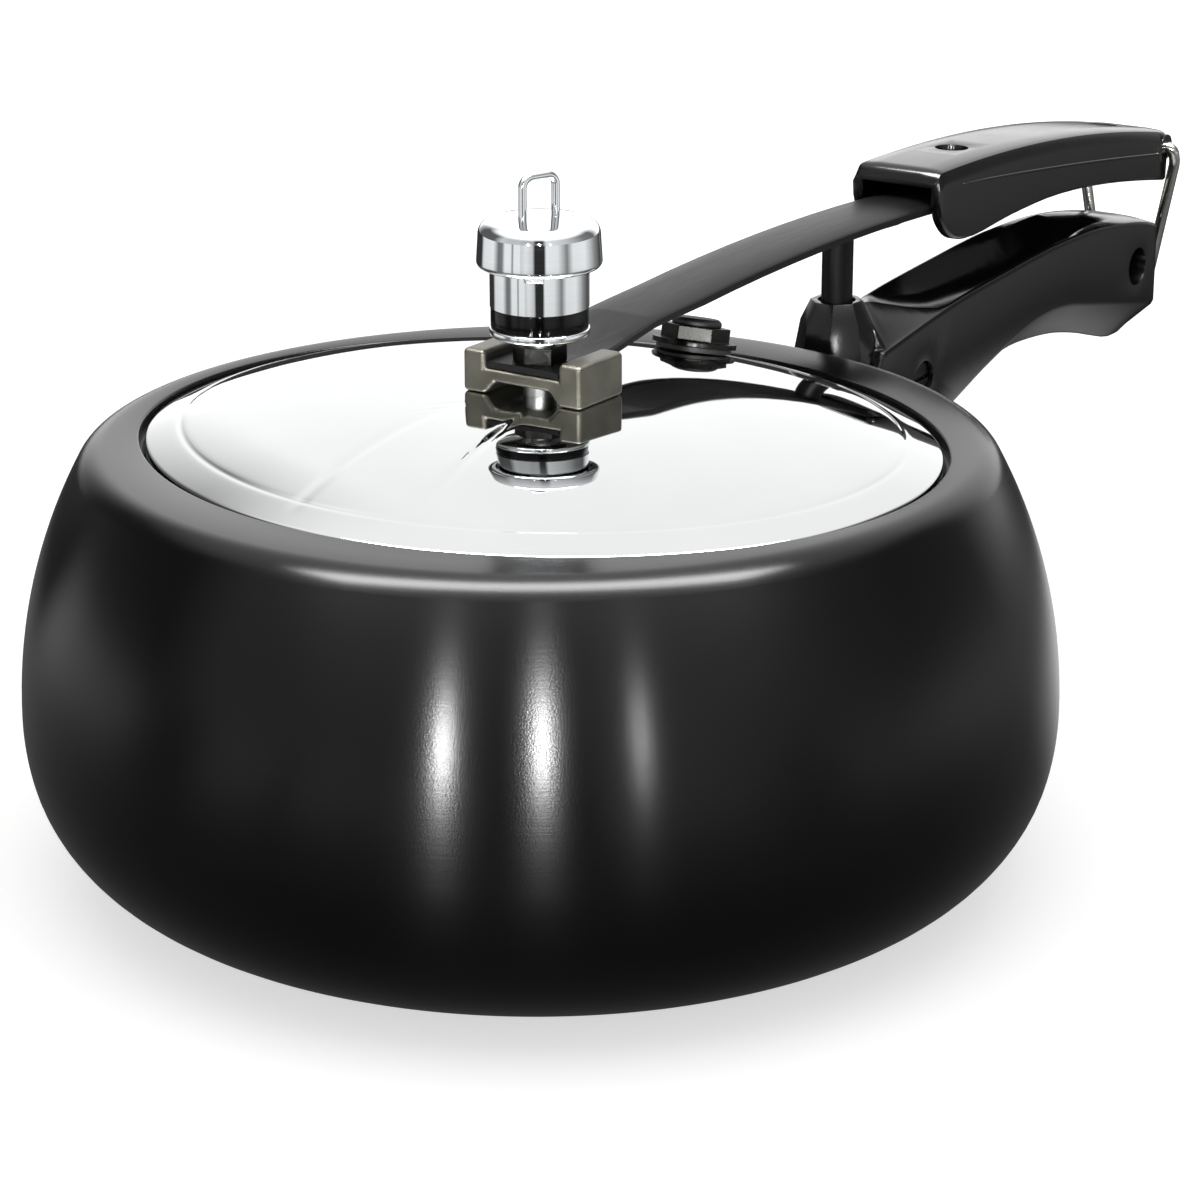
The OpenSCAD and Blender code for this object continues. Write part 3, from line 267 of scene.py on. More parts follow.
def bright_chrome(colours):
    """Turned steel with bright chrome plate: a hard, cool mirror with faint turning lines."""
    material, tree, where = empty_material("bright_chrome_plate")
    # Turning lines, 0.55 mm apart up the weight; real ones are finer.
    turned_lines = add(tree, "ShaderNodeMapping", {"Vector": where}, {"Scale": (1.0, 1.0, 12.0)})
    lines = add(tree, "ShaderNodeTexNoise", {"Vector": turned_lines.outputs["Vector"]},
                {"Scale": 150.0, "Detail": 2.0})
    colour = add(tree, "ShaderNodeMix", {"Factor": lines.outputs["Fac"]}, tones(colours.chrome, 0.95, 1.05),
                 data_type="RGBA")
    rough = add(tree, "ShaderNodeMapRange", {"Value": lines.outputs["Fac"]},
                {"From Min": 0.3, "From Max": 0.7, "To Min": 0.03, "To Max": 0.06})
    shader = add(tree, "ShaderNodeBsdfPrincipled",
                 {"Base Color": colour.outputs["Result"], "Roughness": rough.outputs["Result"]},
                 {"Metallic": 1.0})
    add(tree, "ShaderNodeOutputMaterial", {"Surface": shader.outputs["BSDF"]})
    return material


def moulded_phenolic(colours):
    """Compression-moulded phenolic: black, hard and half glossy, with a faint flow texture."""
    material, tree, where = empty_material("moulded_black_phenolic")
    # Flow of the powder in the mould, about 17 mm wide.
    flow = add(tree, "ShaderNodeTexNoise", {"Vector": where},
               {"Scale": 60.0, "Detail": 4.0, "Distortion": 0.8})
    colour = add(tree, "ShaderNodeMix", {"Factor": flow.outputs["Fac"]}, tones(colours.phenolic, 0.75, 1.3),
                 data_type="RGBA")
    rough = add(tree, "ShaderNodeMapRange", {"Value": flow.outputs["Fac"]},
                {"From Min": 0.3, "From Max": 0.7, "To Min": 0.15, "To Max": 0.2})
    # Fine orange-peel skin of the mould, 0.7 mm.
    peel = add(tree, "ShaderNodeTexNoise", {"Vector": where}, {"Scale": 1400.0, "Detail": 2.0})
    bump = add(tree, "ShaderNodeBump", {"Height": peel.outputs["Fac"]},
               {"Strength": 0.06, "Distance": 0.0002})
    shader = add(tree, "ShaderNodeBsdfPrincipled",
                 {"Base Color": colour.outputs["Result"], "Roughness": rough.outputs["Result"],
                  "Normal": bump.outputs["Normal"]}, {"Specular IOR Level": 0.42})
    add(tree, "ShaderNodeOutputMaterial", {"Surface": shader.outputs["BSDF"]})
    return material


def dark_coated_steel(colours):
    """Strip steel with a baked dark coating: satin grey-black with hairlines along the bar."""
    material, tree, where = empty_material("dark_coated_strip_steel")
    along = add(tree, "ShaderNodeMapping", {"Vector": where}, {"Scale": (0.03, 1.0, 1.0)})
    # Hairlines of the rolled strip, 0.4 mm apart.
    hair = add(tree, "ShaderNodeTexNoise", {"Vector": along.outputs["Vector"]},
               {"Scale": 2200.0, "Detail": 3.0})
    colour = add(tree, "ShaderNodeMix", {"Factor": hair.outputs["Fac"]}, tones(colours.bar, 0.7, 1.3),
                 data_type="RGBA")
    rough = add(tree, "ShaderNodeMapRange", {"Value": hair.outputs["Fac"]},
                {"From Min": 0.3, "From Max": 0.7, "To Min": 0.34, "To Max": 0.42})
    bump = add(tree, "ShaderNodeBump", {"Height": hair.outputs["Fac"]},
               {"Strength": 0.04, "Distance": 0.0002})
    shader = add(tree, "ShaderNodeBsdfPrincipled",
                 {"Base Color": colour.outputs["Result"], "Roughness": rough.outputs["Result"],
                  "Normal": bump.outputs["Normal"]}, {"Metallic": 0.05, "Specular IOR Level": 0.1})
    add(tree, "ShaderNodeOutputMaterial", {"Surface": shader.outputs["BSDF"]})
    return material


def dark_casting(colours):
    """Die casting with a dark chemical finish: dull metal with a fine cast grain."""
    material, tree, where = empty_material("dark_die_casting")
    # Patches of the chemical finish, 5.5 mm.
    patch = add(tree, "ShaderNodeTexNoise", {"Vector": where}, {"Scale": 180.0, "Detail": 4.0})
    colour = add(tree, "ShaderNodeMix", {"Factor": patch.outputs["Fac"]}, tones(colours.casting, 0.6, 1.4),
                 data_type="RGBA")
    rough = add(tree, "ShaderNodeMapRange", {"Value": patch.outputs["Fac"]},
                {"From Min": 0.3, "From Max": 0.7, "To Min": 0.36, "To Max": 0.42})
    # Grain of the mould, 0.5 mm.
    grain = add(tree, "ShaderNodeTexNoise", {"Vector": where}, {"Scale": 2000.0, "Detail": 3.0})
    bump = add(tree, "ShaderNodeBump", {"Height": grain.outputs["Fac"]},
               {"Strength": 0.14, "Distance": 0.0002})
    shader = add(tree, "ShaderNodeBsdfPrincipled",
                 {"Base Color": colour.outputs["Result"], "Roughness": rough.outputs["Result"],
                  "Normal": bump.outputs["Normal"]}, {"Metallic": 0.75})
    add(tree, "ShaderNodeOutputMaterial", {"Surface": shader.outputs["BSDF"]})
    return material


def blackened_steel(colours):
    """Turned steel, blackened in oil: brown-black with worn, brighter high spots."""
    material, tree, where = empty_material("oil_blackened_steel")
    # Worn patches, 4 mm.
    patch = add(tree, "ShaderNodeTexNoise", {"Vector": where}, {"Scale": 260.0, "Detail": 4.0})
    colour = add(tree, "ShaderNodeMix", {"Factor": patch.outputs["Fac"]}, tones(colours.blackened, 0.4, 1.7),
                 data_type="RGBA")
    rough = add(tree, "ShaderNodeMapRange", {"Value": patch.outputs["Fac"]},
                {"From Min": 0.3, "From Max": 0.7, "To Min": 0.22, "To Max": 0.34})
    shader = add(tree, "ShaderNodeBsdfPrincipled",
                 {"Base Color": colour.outputs["Result"], "Roughness": rough.outputs["Result"]},
                 {"Metallic": 0.8})
    add(tree, "ShaderNodeOutputMaterial", {"Surface": shader.outputs["BSDF"]})
    return material


def zinc_plated_steel(colours):
    """Small steel hardware with dull zinc plate: grey with a fine crystal mottle."""
    material, tree, where = empty_material("zinc_plated_steel")
    # Crystals of the plate, 1.4 mm; real ones are finer.
    mottle = add(tree, "ShaderNodeTexVoronoi", {"Vector": where}, {"Scale": 700.0})
    colour = add(tree, "ShaderNodeMix", {"Factor": mottle.outputs["Distance"]},
                 tones(colours.zinc, 0.85, 1.12), data_type="RGBA")
    shader = add(tree, "ShaderNodeBsdfPrincipled", {"Base Color": colour.outputs["Result"]},
                 {"Metallic": 1.0, "Roughness": 0.3})
    add(tree, "ShaderNodeOutputMaterial", {"Surface": shader.outputs["BSDF"]})
    return material


def drawn_wire(colours):
    """Bright drawn stainless wire: smooth metal with fine draw lines."""
    material, tree, where = empty_material("bright_drawn_wire")
    # Marks of the drawing die, 1.1 mm; real ones are finer.
    lines = add(tree, "ShaderNodeTexNoise", {"Vector": where}, {"Scale": 900.0, "Detail": 3.0})
    colour = add(tree, "ShaderNodeMix", {"Factor": lines.outputs["Fac"]}, tones(colours.wire, 0.75, 1.2),
                 data_type="RGBA")
    shader = add(tree, "ShaderNodeBsdfPrincipled", {"Base Color": colour.outputs["Result"]},
                 {"Metallic": 1.0, "Roughness": 0.12})
    add(tree, "ShaderNodeOutputMaterial", {"Surface": shader.outputs["BSDF"]})
    return material


def moulded_rubber(colours):
    """Moulded black rubber: matt, with a dusty bloom."""
    material, tree, where = empty_material("moulded_black_rubber")
    # Patches of bloom, 8 mm.
    bloom = add(tree, "ShaderNodeTexNoise", {"Vector": where}, {"Scale": 120.0, "Detail": 5.0})
    colour = add(tree, "ShaderNodeMix", {"Factor": bloom.outputs["Fac"]}, tones(colours.rubber, 0.6, 1.6),
                 data_type="RGBA")
    rough = add(tree, "ShaderNodeMapRange", {"Value": bloom.outputs["Fac"]},
                {"From Min": 0.3, "From Max": 0.7, "To Min": 0.45, "To Max": 0.6})
    shader = add(tree, "ShaderNodeBsdfPrincipled",
                 {"Base Color": colour.outputs["Result"], "Roughness": rough.outputs["Result"]})
    add(tree, "ShaderNodeOutputMaterial", {"Surface": shader.outputs["BSDF"]})
    return material


def gloss_black_enamel(colours):
    """Black enamelled band: deep gloss, a little uneven where the enamel pooled."""
    material, tree, where = empty_material("gloss_black_enamel")
    # Pools of the enamel, 11 mm.
    pool = add(tree, "ShaderNodeTexNoise", {"Vector": where}, {"Scale": 90.0, "Detail": 2.0})
    colour = add(tree, "ShaderNodeMix", {"Factor": pool.outputs["Fac"]}, tones(colours.enamel, 0.7, 1.3),
                 data_type="RGBA")
    rough = add(tree, "ShaderNodeMapRange", {"Value": pool.outputs["Fac"]},
                {"From Min": 0.3, "From Max": 0.7, "To Min": 0.07, "To Max": 0.12})
    shader = add(tree, "ShaderNodeBsdfPrincipled",
                 {"Base Color": colour.outputs["Result"], "Roughness": rough.outputs["Result"]},
                 {"Specular IOR Level": 0.2})
    add(tree, "ShaderNodeOutputMaterial", {"Surface": shader.outputs["BSDF"]})
    return material


def fusible_alloy(colours):
    """Poured fusible alloy: soft grey metal with a dull cast skin."""
    material, tree, where = empty_material("poured_fusible_alloy")
    # Wrinkles of the cast skin, 1.3 mm.
    cast = add(tree, "ShaderNodeTexNoise", {"Vector": where}, {"Scale": 800.0, "Detail": 4.0})
    colour = add(tree, "ShaderNodeMix", {"Factor": cast.outputs["Fac"]}, tones(colours.alloy, 0.75, 1.2),
                 data_type="RGBA")
    shader = add(tree, "ShaderNodeBsdfPrincipled", {"Base Color": colour.outputs["Result"]},
                 {"Metallic": 0.9, "Roughness": 0.45})
    add(tree, "ShaderNodeOutputMaterial", {"Surface": shader.outputs["BSDF"]})
    return material


FINISHES = {
    "pot_anodised": hard_anodised_aluminium,
    "mirror_steel": mirror_polished_steel,
    "chrome": bright_chrome,
    "phenolic": moulded_phenolic,
    "bar_dark": dark_coated_steel,
    "cast_dark": dark_casting,
    "dark_metal": blackened_steel,
    "steel": zinc_plated_steel,
    "wire_steel": drawn_wire,
    "rubber": moulded_rubber,
    "gloss_black": gloss_black_enamel,
    "tin": fusible_alloy,
}
SLOT_OF = {s["node"]: s["material_slot"] for s in frame["record"]["subparts"]}
made_finishes = {}


def finish(slot):
    """The material of a record slot, made once."""
    if slot not in made_finishes:
        made_finishes[slot] = FINISHES[slot](bpy.context.scene.cooker_colours)
    return made_finishes[slot]


# ---------------------------------------------------------------- stage

WHITE = (1.0, 1.0, 1.0, 1.0)
# Grey of the painted shade that gloss sees on the paper near the object.
SHADED_PAPER = (0.6, 0.6, 0.6, 1.0)
# The place on the floor below the middle of the grips, where a pool of light is painted for gloss.
UNDER_GRIPS = (0.215, 0.0, 0.0)
# Screens that gloss sees all round: painted dark on the floor's glow, and the softer ones of the world
# between the horizon and the ceiling.
LOW_SCREENS = ((0.0, 0.75), (0.03, 0.95), (0.062, 0.7), (0.074, 0.03), (0.122, 0.03), (0.132, 1.0),
               (0.19, 0.95), (0.24, 0.25), (0.275, 0.95), (0.35, 1.0), (0.43, 0.3), (0.5, 0.04),
               (0.735, 0.04), (0.76, 0.9), (0.84, 1.0), (0.875, 0.2), (0.9, 0.25), (0.915, 1.0),
               (0.95, 1.0), (0.958, 0.15), (0.966, 1.0))
HIGH_SCREENS = ((0.0, 0.35), (0.06, 0.35), (0.078, 0.03), (0.115, 0.03), (0.135, 0.6), (0.25, 0.4),
                (0.35, 0.15), (0.43, 0.1), (0.49, 0.9), (0.55, 1.0), (0.635, 1.0), (0.675, 0.3),
                (0.71, 0.07), (0.84, 0.08), (0.89, 0.45), (0.93, 0.4))


def seen_ray(tree):
    """Two flags of a ray: that the background is seen by it, from the camera, in gloss or through
    glass, and that it comes from gloss."""
    path = add(tree, "ShaderNodeLightPath")
    seen = add(tree, "ShaderNodeMath", {0: path.outputs["Is Camera Ray"], 1: path.outputs["Is Glossy Ray"]},
               operation="MAXIMUM")
    seen = add(tree, "ShaderNodeMath", {0: seen.outputs["Value"], 1: path.outputs["Is Transmission Ray"]},
               operation="MAXIMUM")
    return seen.outputs["Value"], path.outputs["Is Glossy Ray"]


def room_in_metal(tree, where, glossy, stops):
    """Brightness of the room by direction round the object: dark screens in gloss, white to other rays.
    Each stop is a share of a turn and a grey."""
    sector = add(tree, "ShaderNodeTexGradient", {"Vector": where}, gradient_type="RADIAL")
    screens = add(tree, "ShaderNodeValToRGB", {"Fac": sector.outputs["Fac"]})
    ramp = screens.color_ramp
    for place, _ in stops[2:]:
        ramp.elements.new(place)
    for stop, (place, grey) in zip(sorted(ramp.elements, key=lambda e: e.position), stops):
        stop.position = place
        stop.color = (grey, grey, grey, 1.0)
    white = add(tree, "ShaderNodeMix", {"Factor": glossy, "B": screens.outputs["Color"]}, {"A": WHITE},
                data_type="RGBA")
    return white.outputs["Result"]


def pale_floor(colours, stage):
    """Pale studio floor that keeps the shadow and glows white to the camera, less so round the object; in
    gloss it shows painted dark screens, a painted shade near the object and a painted pool of light under the
    grips.
    """
    material, tree, where = empty_material("pale_studio_floor")
    seen, glossy = seen_ray(tree)
    # Painted light: the paper's glow grows with distance from the object, so it is whiter away from it and
    # greyer round it.
    away = add(tree, "ShaderNodeVectorMath", {0: where}, operation="LENGTH")
    rise = add(tree, "ShaderNodeMapRange", {"Value": away.outputs["Value"]},
               {"From Min": 0.2, "From Max": 0.9, "To Min": stage.lift, "To Max": 1.0},
               interpolation_type="SMOOTHSTEP")
    glow = add(tree, "ShaderNodeMath", {0: seen, 1: rise.outputs["Result"]}, operation="MULTIPLY")
    coat = add(tree, "ShaderNodeBsdfDiffuse", values={"Color": colours.floor})
    light = add(tree, "ShaderNodeEmission", {"Strength": glow.outputs["Value"]})
    paper = add(tree, "ShaderNodeAddShader", {0: coat.outputs["BSDF"], 1: light.outputs["Emission"]})
    # In gloss the paper glows with painted dark screens and, near the object, with a painted shade.
    painted_shade = add(tree, "ShaderNodeMapRange", {"Value": away.outputs["Value"]},
                {"From Min": 0.12, "From Max": 0.6, "To Min": 0.2, "To Max": 1.0},
                interpolation_type="SMOOTHSTEP")
    far = add(tree, "ShaderNodeMapRange", {"Value": away.outputs["Value"]},
              {"From Min": 0.25, "From Max": 0.4})
    faded = add(tree, "ShaderNodeMix",
                {"Factor": far.outputs["Result"], "B": room_in_metal(tree, where, glossy, LOW_SCREENS)},
                {"A": SHADED_PAPER}, data_type="RGBA")
    mirrored = add(tree, "ShaderNodeEmission",
                   {"Strength": painted_shade.outputs["Result"], "Color": faded.outputs["Result"]})
    # Painted light: a pool of light painted on the paper under the grips, seen only in gloss, which their
    # undersides reflect.
    reach = add(tree, "ShaderNodeVectorMath", {0: where}, {1: UNDER_GRIPS}, operation="DISTANCE")
    under = add(tree, "ShaderNodeMapRange", {"Value": reach.outputs["Value"]},
                {"From Min": 0.05, "From Max": 0.165, "To Min": stage.under, "To Max": 0.0},
                interpolation_type="SMOOTHSTEP")
    patch = add(tree, "ShaderNodeEmission", {"Strength": under.outputs["Result"]})
    mirrored = add(tree, "ShaderNodeAddShader",
                   {0: mirrored.outputs["Emission"], 1: patch.outputs["Emission"]})
    both = add(tree, "ShaderNodeMixShader",
               {0: glossy, 1: paper.outputs["Shader"], 2: mirrored.outputs["Shader"]})
    add(tree, "ShaderNodeOutputMaterial", {"Surface": both.outputs["Shader"]})
    return material


def studio_world(scene, stage):
    """White studio round the object; gloss also sees its dark screens."""
    world = bpy.data.worlds.new("studio")
    scene.world = world
    world.use_nodes = True
    tree = world.node_tree
    tree.nodes.clear()
    where = add(tree, "ShaderNodeTexCoord").outputs["Generated"]
    seen, glossy = seen_ray(tree)
    level = add(tree, "ShaderNodeMapRange", {"Value": seen}, {"To Min": stage.fill, "To Max": 1.0})
    back = add(tree, "ShaderNodeMath", {0: glossy, 2: level.outputs["Result"]}, {1: stage.backdrop},
               operation="MULTIPLY_ADD")
    # The screens end below the white ceiling.
    height = add(tree, "ShaderNodeSeparateXYZ", {"Vector": where})
    ceiling = add(tree, "ShaderNodeMapRange", {"Value": height.outputs["Z"]},
                  {"From Min": 0.5, "From Max": 0.8}, interpolation_type="SMOOTHSTEP")
    room = add(tree, "ShaderNodeMix",
               {"Factor": ceiling.outputs["Result"], "A": room_in_metal(tree, where, glossy, HIGH_SCREENS)},
               {"B": WHITE}, data_type="RGBA")
    sky = add(tree, "ShaderNodeBackground",
              {"Strength": back.outputs["Value"], "Color": room.outputs["Result"]})
    add(tree, "ShaderNodeOutputWorld", {"Surface": sky.outputs["Background"]})


# ---------------------------------------------------------------- making pieces

SAME_PLACE = 1e-6


def body_of_node(node):
    """The CAD body that a node rides on."""
    return next(b for b, members in frame["record"]["behaviour"]["bodies"].items() if node in members)


def piece(name, bm, nodes, sharp=40.0, weighted=False):
    """Writes a bmesh as a finished piece that stands for CAD nodes and rides on their body. Edges
    sharper than an angle in degrees stay hard."""
    for face in bm.faces:
        face.smooth = True
    for edge in bm.edges:
        edge.smooth = len(edge.link_faces) == 2 and edge.calc_face_angle(0.0) < math.radians(sharp)
    mesh = bpy.data.meshes.new(name)
    bm.to_mesh(mesh)
    bm.free()
    mesh.materials.append(finish(SLOT_OF[nodes[0]]))
    made = bpy.data.objects.new(name, mesh)
    bpy.context.scene.collection.objects.link(made)
    if weighted:
        made.modifiers.new("Flat faces", "WEIGHTED_NORMAL").keep_sharp = True
    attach(made, body_of_node(nodes[0]))
    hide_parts(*nodes)
    return made


def rounded(bm, edges, width, segments):
    """Rounds edges of a bmesh."""
    bmesh.ops.bevel(bm, geom=edges, offset=width, offset_type="OFFSET", segments=segments, profile=0.5,
                    affect="EDGES", clamp_overlap=True, material=-1)


def dressed(name, node, width, sharp=35.0, flat=0.5, weighted=True, trim=None):
    """A copy of a CAD node with its triangles merged, its hard edges rounded and its finish put on.
    Edges sharper than an angle in degrees are hard, and faces within a flat angle are joined. A trim
    adds its own shapes to the mesh."""
    bm = bmesh.new()
    bm.from_mesh(frame["nodes"][node].data)
    bmesh.ops.remove_doubles(bm, verts=bm.verts, dist=2 * SAME_PLACE)
    if flat > 0:
        bmesh.ops.dissolve_limit(bm, angle_limit=math.radians(flat), verts=bm.verts, edges=bm.edges,
                                 delimit={"NORMAL"})
    bm.normal_update()
    hard = [e for e in bm.edges if len(e.link_faces) == 2 and e.calc_face_angle(0.0) > math.radians(sharp)]
    if width > 0 and hard:
        rounded(bm, hard, width, 2)
    if trim:
        trim(bm)
    return piece(name, bm, [node], sharp, weighted)


def arc(x, z, radius, start, end, count):
    """Points of an arc in the XZ plane, angles in degrees."""
    turns = [math.radians(start + (end - start) * i / count) for i in range(count + 1)]
    return [(x + radius * math.cos(a), z + radius * math.sin(a)) for a in turns]


def turned(name, points, node, steps, closed=False):
    """A piece spun about the Z axis from its outline in the XZ plane."""
    bm = bmesh.new()
    verts = [bm.verts.new((x, 0.0, z)) for x, z in points]
    pairs = list(zip(verts, verts[1:]))
    if closed:
        pairs.append((verts[-1], verts[0]))
    edges = [bm.edges.new(pair) for pair in pairs]
    bmesh.ops.spin(bm, geom=verts + edges, cent=(0.0, 0.0, 0.0), axis=(0.0, 0.0, 1.0), angle=math.tau,
                   steps=steps, use_merge=True)
    bmesh.ops.remove_doubles(bm, verts=bm.verts, dist=SAME_PLACE)
    bmesh.ops.dissolve_degenerate(bm, dist=SAME_PLACE / 10, edges=bm.edges)
    bmesh.ops.recalc_face_normals(bm, faces=bm.faces)
    return piece(name, bm, [node])


def skin(bm, rings, steps, closed=False):
    """Extrudes a circle of points through rings, each a function from an angle to a place.
    Returns the first and the last loop, which a closed skin joins."""
    turn = bm.verts.layers.float.get("turn") or bm.verts.layers.float.new("turn")
    first = bmesh.ops.create_circle(bm, segments=steps, radius=1.0)["verts"]
    for i, vert in enumerate(first):
        vert[turn] = math.tau * i / steps
        vert.co = rings[0](vert[turn])
    edges = list({edge for vert in first for edge in vert.link_edges})
    start = list(edges)
    for ring in rings[1:]:
        made = bmesh.ops.extrude_edge_only(bm, edges=edges)["geom"]
        last = [g for g in made if isinstance(g, bmesh.types.BMVert)]
        fresh = set(last)
        edges = [g for g in made if isinstance(g, bmesh.types.BMEdge) and set(g.verts) <= fresh]
        for vert in last:
            vert.co = ring(vert[turn])
    if closed:
        bmesh.ops.bridge_loops(bm, edges=start + edges)
    return first, last


def moulding_line(bm):
    """Lays the fine moulding line along both sides of the upper grip, below its top edge. It is
    straighter than the edge, so it lies deepest below it past the middle."""
    low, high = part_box("lid_grip")
    edges = bpy.context.scene.cooker_edges
    tree = BVHTree.FromBMesh(bm)
    start, length = low.x + 10 * MM, high.x - low.x - 15 * MM
    beside_edge = high.y - 1 * MM
    clear = 50 * MM
    places, facets = 40, 12
    for side in (-1, 1):
        rings = []
        for i in range(places + 1):
            share = i / places
            x = start + length * share
            top = tree.ray_cast(Vector((x, side * beside_edge, high.z + clear)), Vector((0.0, 0.0, -1.0)))[0]
            z = top.z - edges.line_drop * (0.9 + 0.4 * share + 2 * share * (1 - share))
            face = tree.ray_cast(Vector((x, side * (high.y + clear), z)), Vector((0.0, -side, 0.0)))[0]
            # The line swells out of the side at its front end and stands a little proud of it.
            r = edges.line_round * min(1.0, 0.2 + i / 6)
            y = face.y - side * r * 0.4
            rings.append(lambda a, x=x, y=y, z=z, r=r: (x, y + r * math.cos(a), z + r * math.sin(a)))
        old = set(bm.faces)
        for loop in skin(bm, rings, facets):
            middle = sum((v.co for v in loop), Vector()) / len(loop)
            bmesh.ops.pointmerge(bm, verts=loop, merge_co=middle)
        bmesh.ops.recalc_face_normals(bm, faces=[f for f in bm.faces if f not in old])


def disc(radius, z):
    """A level circle, as a ring for a skin."""
    return lambda a: (radius * math.cos(a), radius * math.sin(a), z)


def oval(offset, z):
    """The mouth's oval moved outwards by an offset, as a ring for a skin."""
    lid = bpy.context.scene.cooker_lid
    short, end = lid.mouth_short / 2, lid.mouth_end
    end_centre = lid.mouth_long / 2 - end
    side = (end_centre ** 2 + short ** 2 - end ** 2) / (2 * (short - end))
    side_centre = side - short

    def place(a):
        c, s = abs(math.cos(a)), abs(math.sin(a))
        reach = math.sqrt((side + offset) ** 2 - (side_centre * s) ** 2) - side_centre * c
        if reach * s * side_centre > (reach * c + side_centre) * end_centre:
            reach = end_centre * s + math.sqrt((end + offset) ** 2 - (end_centre * c) ** 2)
        return reach * math.cos(a), reach * math.sin(a), z
    return place


def rim_height():
    """Height of the flat of the rim."""
    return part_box("pot_body")[1].z


def crown(depth):
    """Height of the lid's crown at a distance in from its edge."""
    lid = bpy.context.scene.cooker_lid
    return rim_height() - lid.drop + lid.rise * (1 - max(0.0, 1 - depth / lid.curve) ** lid.power)


def swell(off, half):
    """A smooth rise from 0 at half a width away to 1 on the line."""
    return (1 + math.cos(math.pi * min(1.0, abs(off) / half))) / 2


# Ends of the two folds that run from the saddle towards the lid's edge, in millimetres.
FOLDS = (((-13.0, 11.0), (-74.0, 8.0)), ((-13.0, -6.0), (-63.0, -17.0)))


def pressed(depth):
    """A ring of the crown with its pressed bead and folds, for a skin."""
    lid = bpy.context.scene.cooker_lid
    bead = lid.bead_depth * swell(depth - lid.bead_in, lid.bead_half)
    unfolded = oval(-lid.gap - depth, crown(depth) - bead)

    def place(a):
        x, y, z = unfolded(a)
        for start, end in FOLDS:
            start, end = Vector(start) * MM, Vector(end) * MM
            run = end - start
            way = Vector((x, y)) - start
            share = way.dot(run) / run.length_squared
            if 0 < share < 1:
                away = way.cross(run) / run.length
                z -= lid.fold_depth * swell(away, lid.fold_half) * math.sin(math.pi * share) ** 0.5
        return x, y, z
    return place


# ---------------------------------------------------------------- operators

class COOKER_OT_pot(bpy.types.Operator):
    """Makes the spun pot with its oval mouth"""
    bl_idname = "cooker.pot"
    bl_label = "Pot"

    def execute(self, context):
        pot, lid = context.scene.cooker_pot, context.scene.cooker_lid
        top = rim_height()
        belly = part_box("pot_body")[1].x
        corner_turn = math.asin((pot.belly_height - pot.corner) / (pot.lower - pot.corner))
        corner_x = belly - pot.lower + (pot.lower - pot.corner) * math.cos(corner_turn)
        flank_x = belly - pot.flank
        shoulder_z = top - pot.shoulder
        flank_turn = math.asin((shoulder_z - pot.belly_height) / (pot.flank - pot.shoulder))
        shoulder_x = max(flank_x + (pot.flank - pot.shoulder) * math.cos(flank_turn),
                         lid.mouth_long / 2 + pot.least_rim)
        way_x, way_z = shoulder_x - flank_x, shoulder_z - pot.belly_height
        meet = math.acos(min(1.0, (pot.flank - pot.shoulder) / math.hypot(way_x, way_z)))
        turn = math.degrees(math.atan2(way_z, way_x) - meet)
        low = math.degrees(corner_turn)

        def wall_line(inwards, start):
            """Points of the wall's section from the base up to the rim, at a depth in from the outside."""
            return (arc(corner_x, pot.corner, pot.corner - inwards, start, -low, 18)
                    + arc(belly - pot.lower, pot.belly_height, pot.lower - inwards, -low, 0, 8)[1:]
                    + arc(flank_x, pot.belly_height, pot.flank - inwards, 0, turn, 18)[1:]
                    + arc(shoulder_x, shoulder_z, pot.shoulder - inwards, turn, 90, 12))

        # Inside, the floor is thicker than the wall, so the corner's arc starts later.
        floor_start = math.degrees(math.acos((pot.corner - pot.base) / (pot.corner - pot.wall))) - 90
        middle = corner_x * 0.5
        outside = [disc(x, z) for x, z in wall_line(0.0, -90)]
        inside = [disc(x, z) for x, z in reversed(wall_line(pot.wall, floor_start))]
        r = pot.rim_round
        quarter = [math.radians(a) for a in (0, 30, 60, 90)]
        mouth = [oval(r * (1 - math.sin(a)), top - r * (1 - math.cos(a))) for a in quarter]
        bm = bmesh.new()
        first, last = skin(bm, [disc(middle, 0.0)] + outside + mouth + [oval(0.0, top - pot.wall)] + inside
                           + [disc(middle, pot.base)], pot.steps)
        bmesh.ops.pointmerge(bm, verts=first, merge_co=(0.0, 0.0, 0.0))
        bmesh.ops.pointmerge(bm, verts=last, merge_co=(0.0, 0.0, pot.base))
        bmesh.ops.recalc_face_normals(bm, faces=bm.faces)
        piece("pot_shell", bm, ["pot_body"], 50.0)
        return {"FINISHED"}


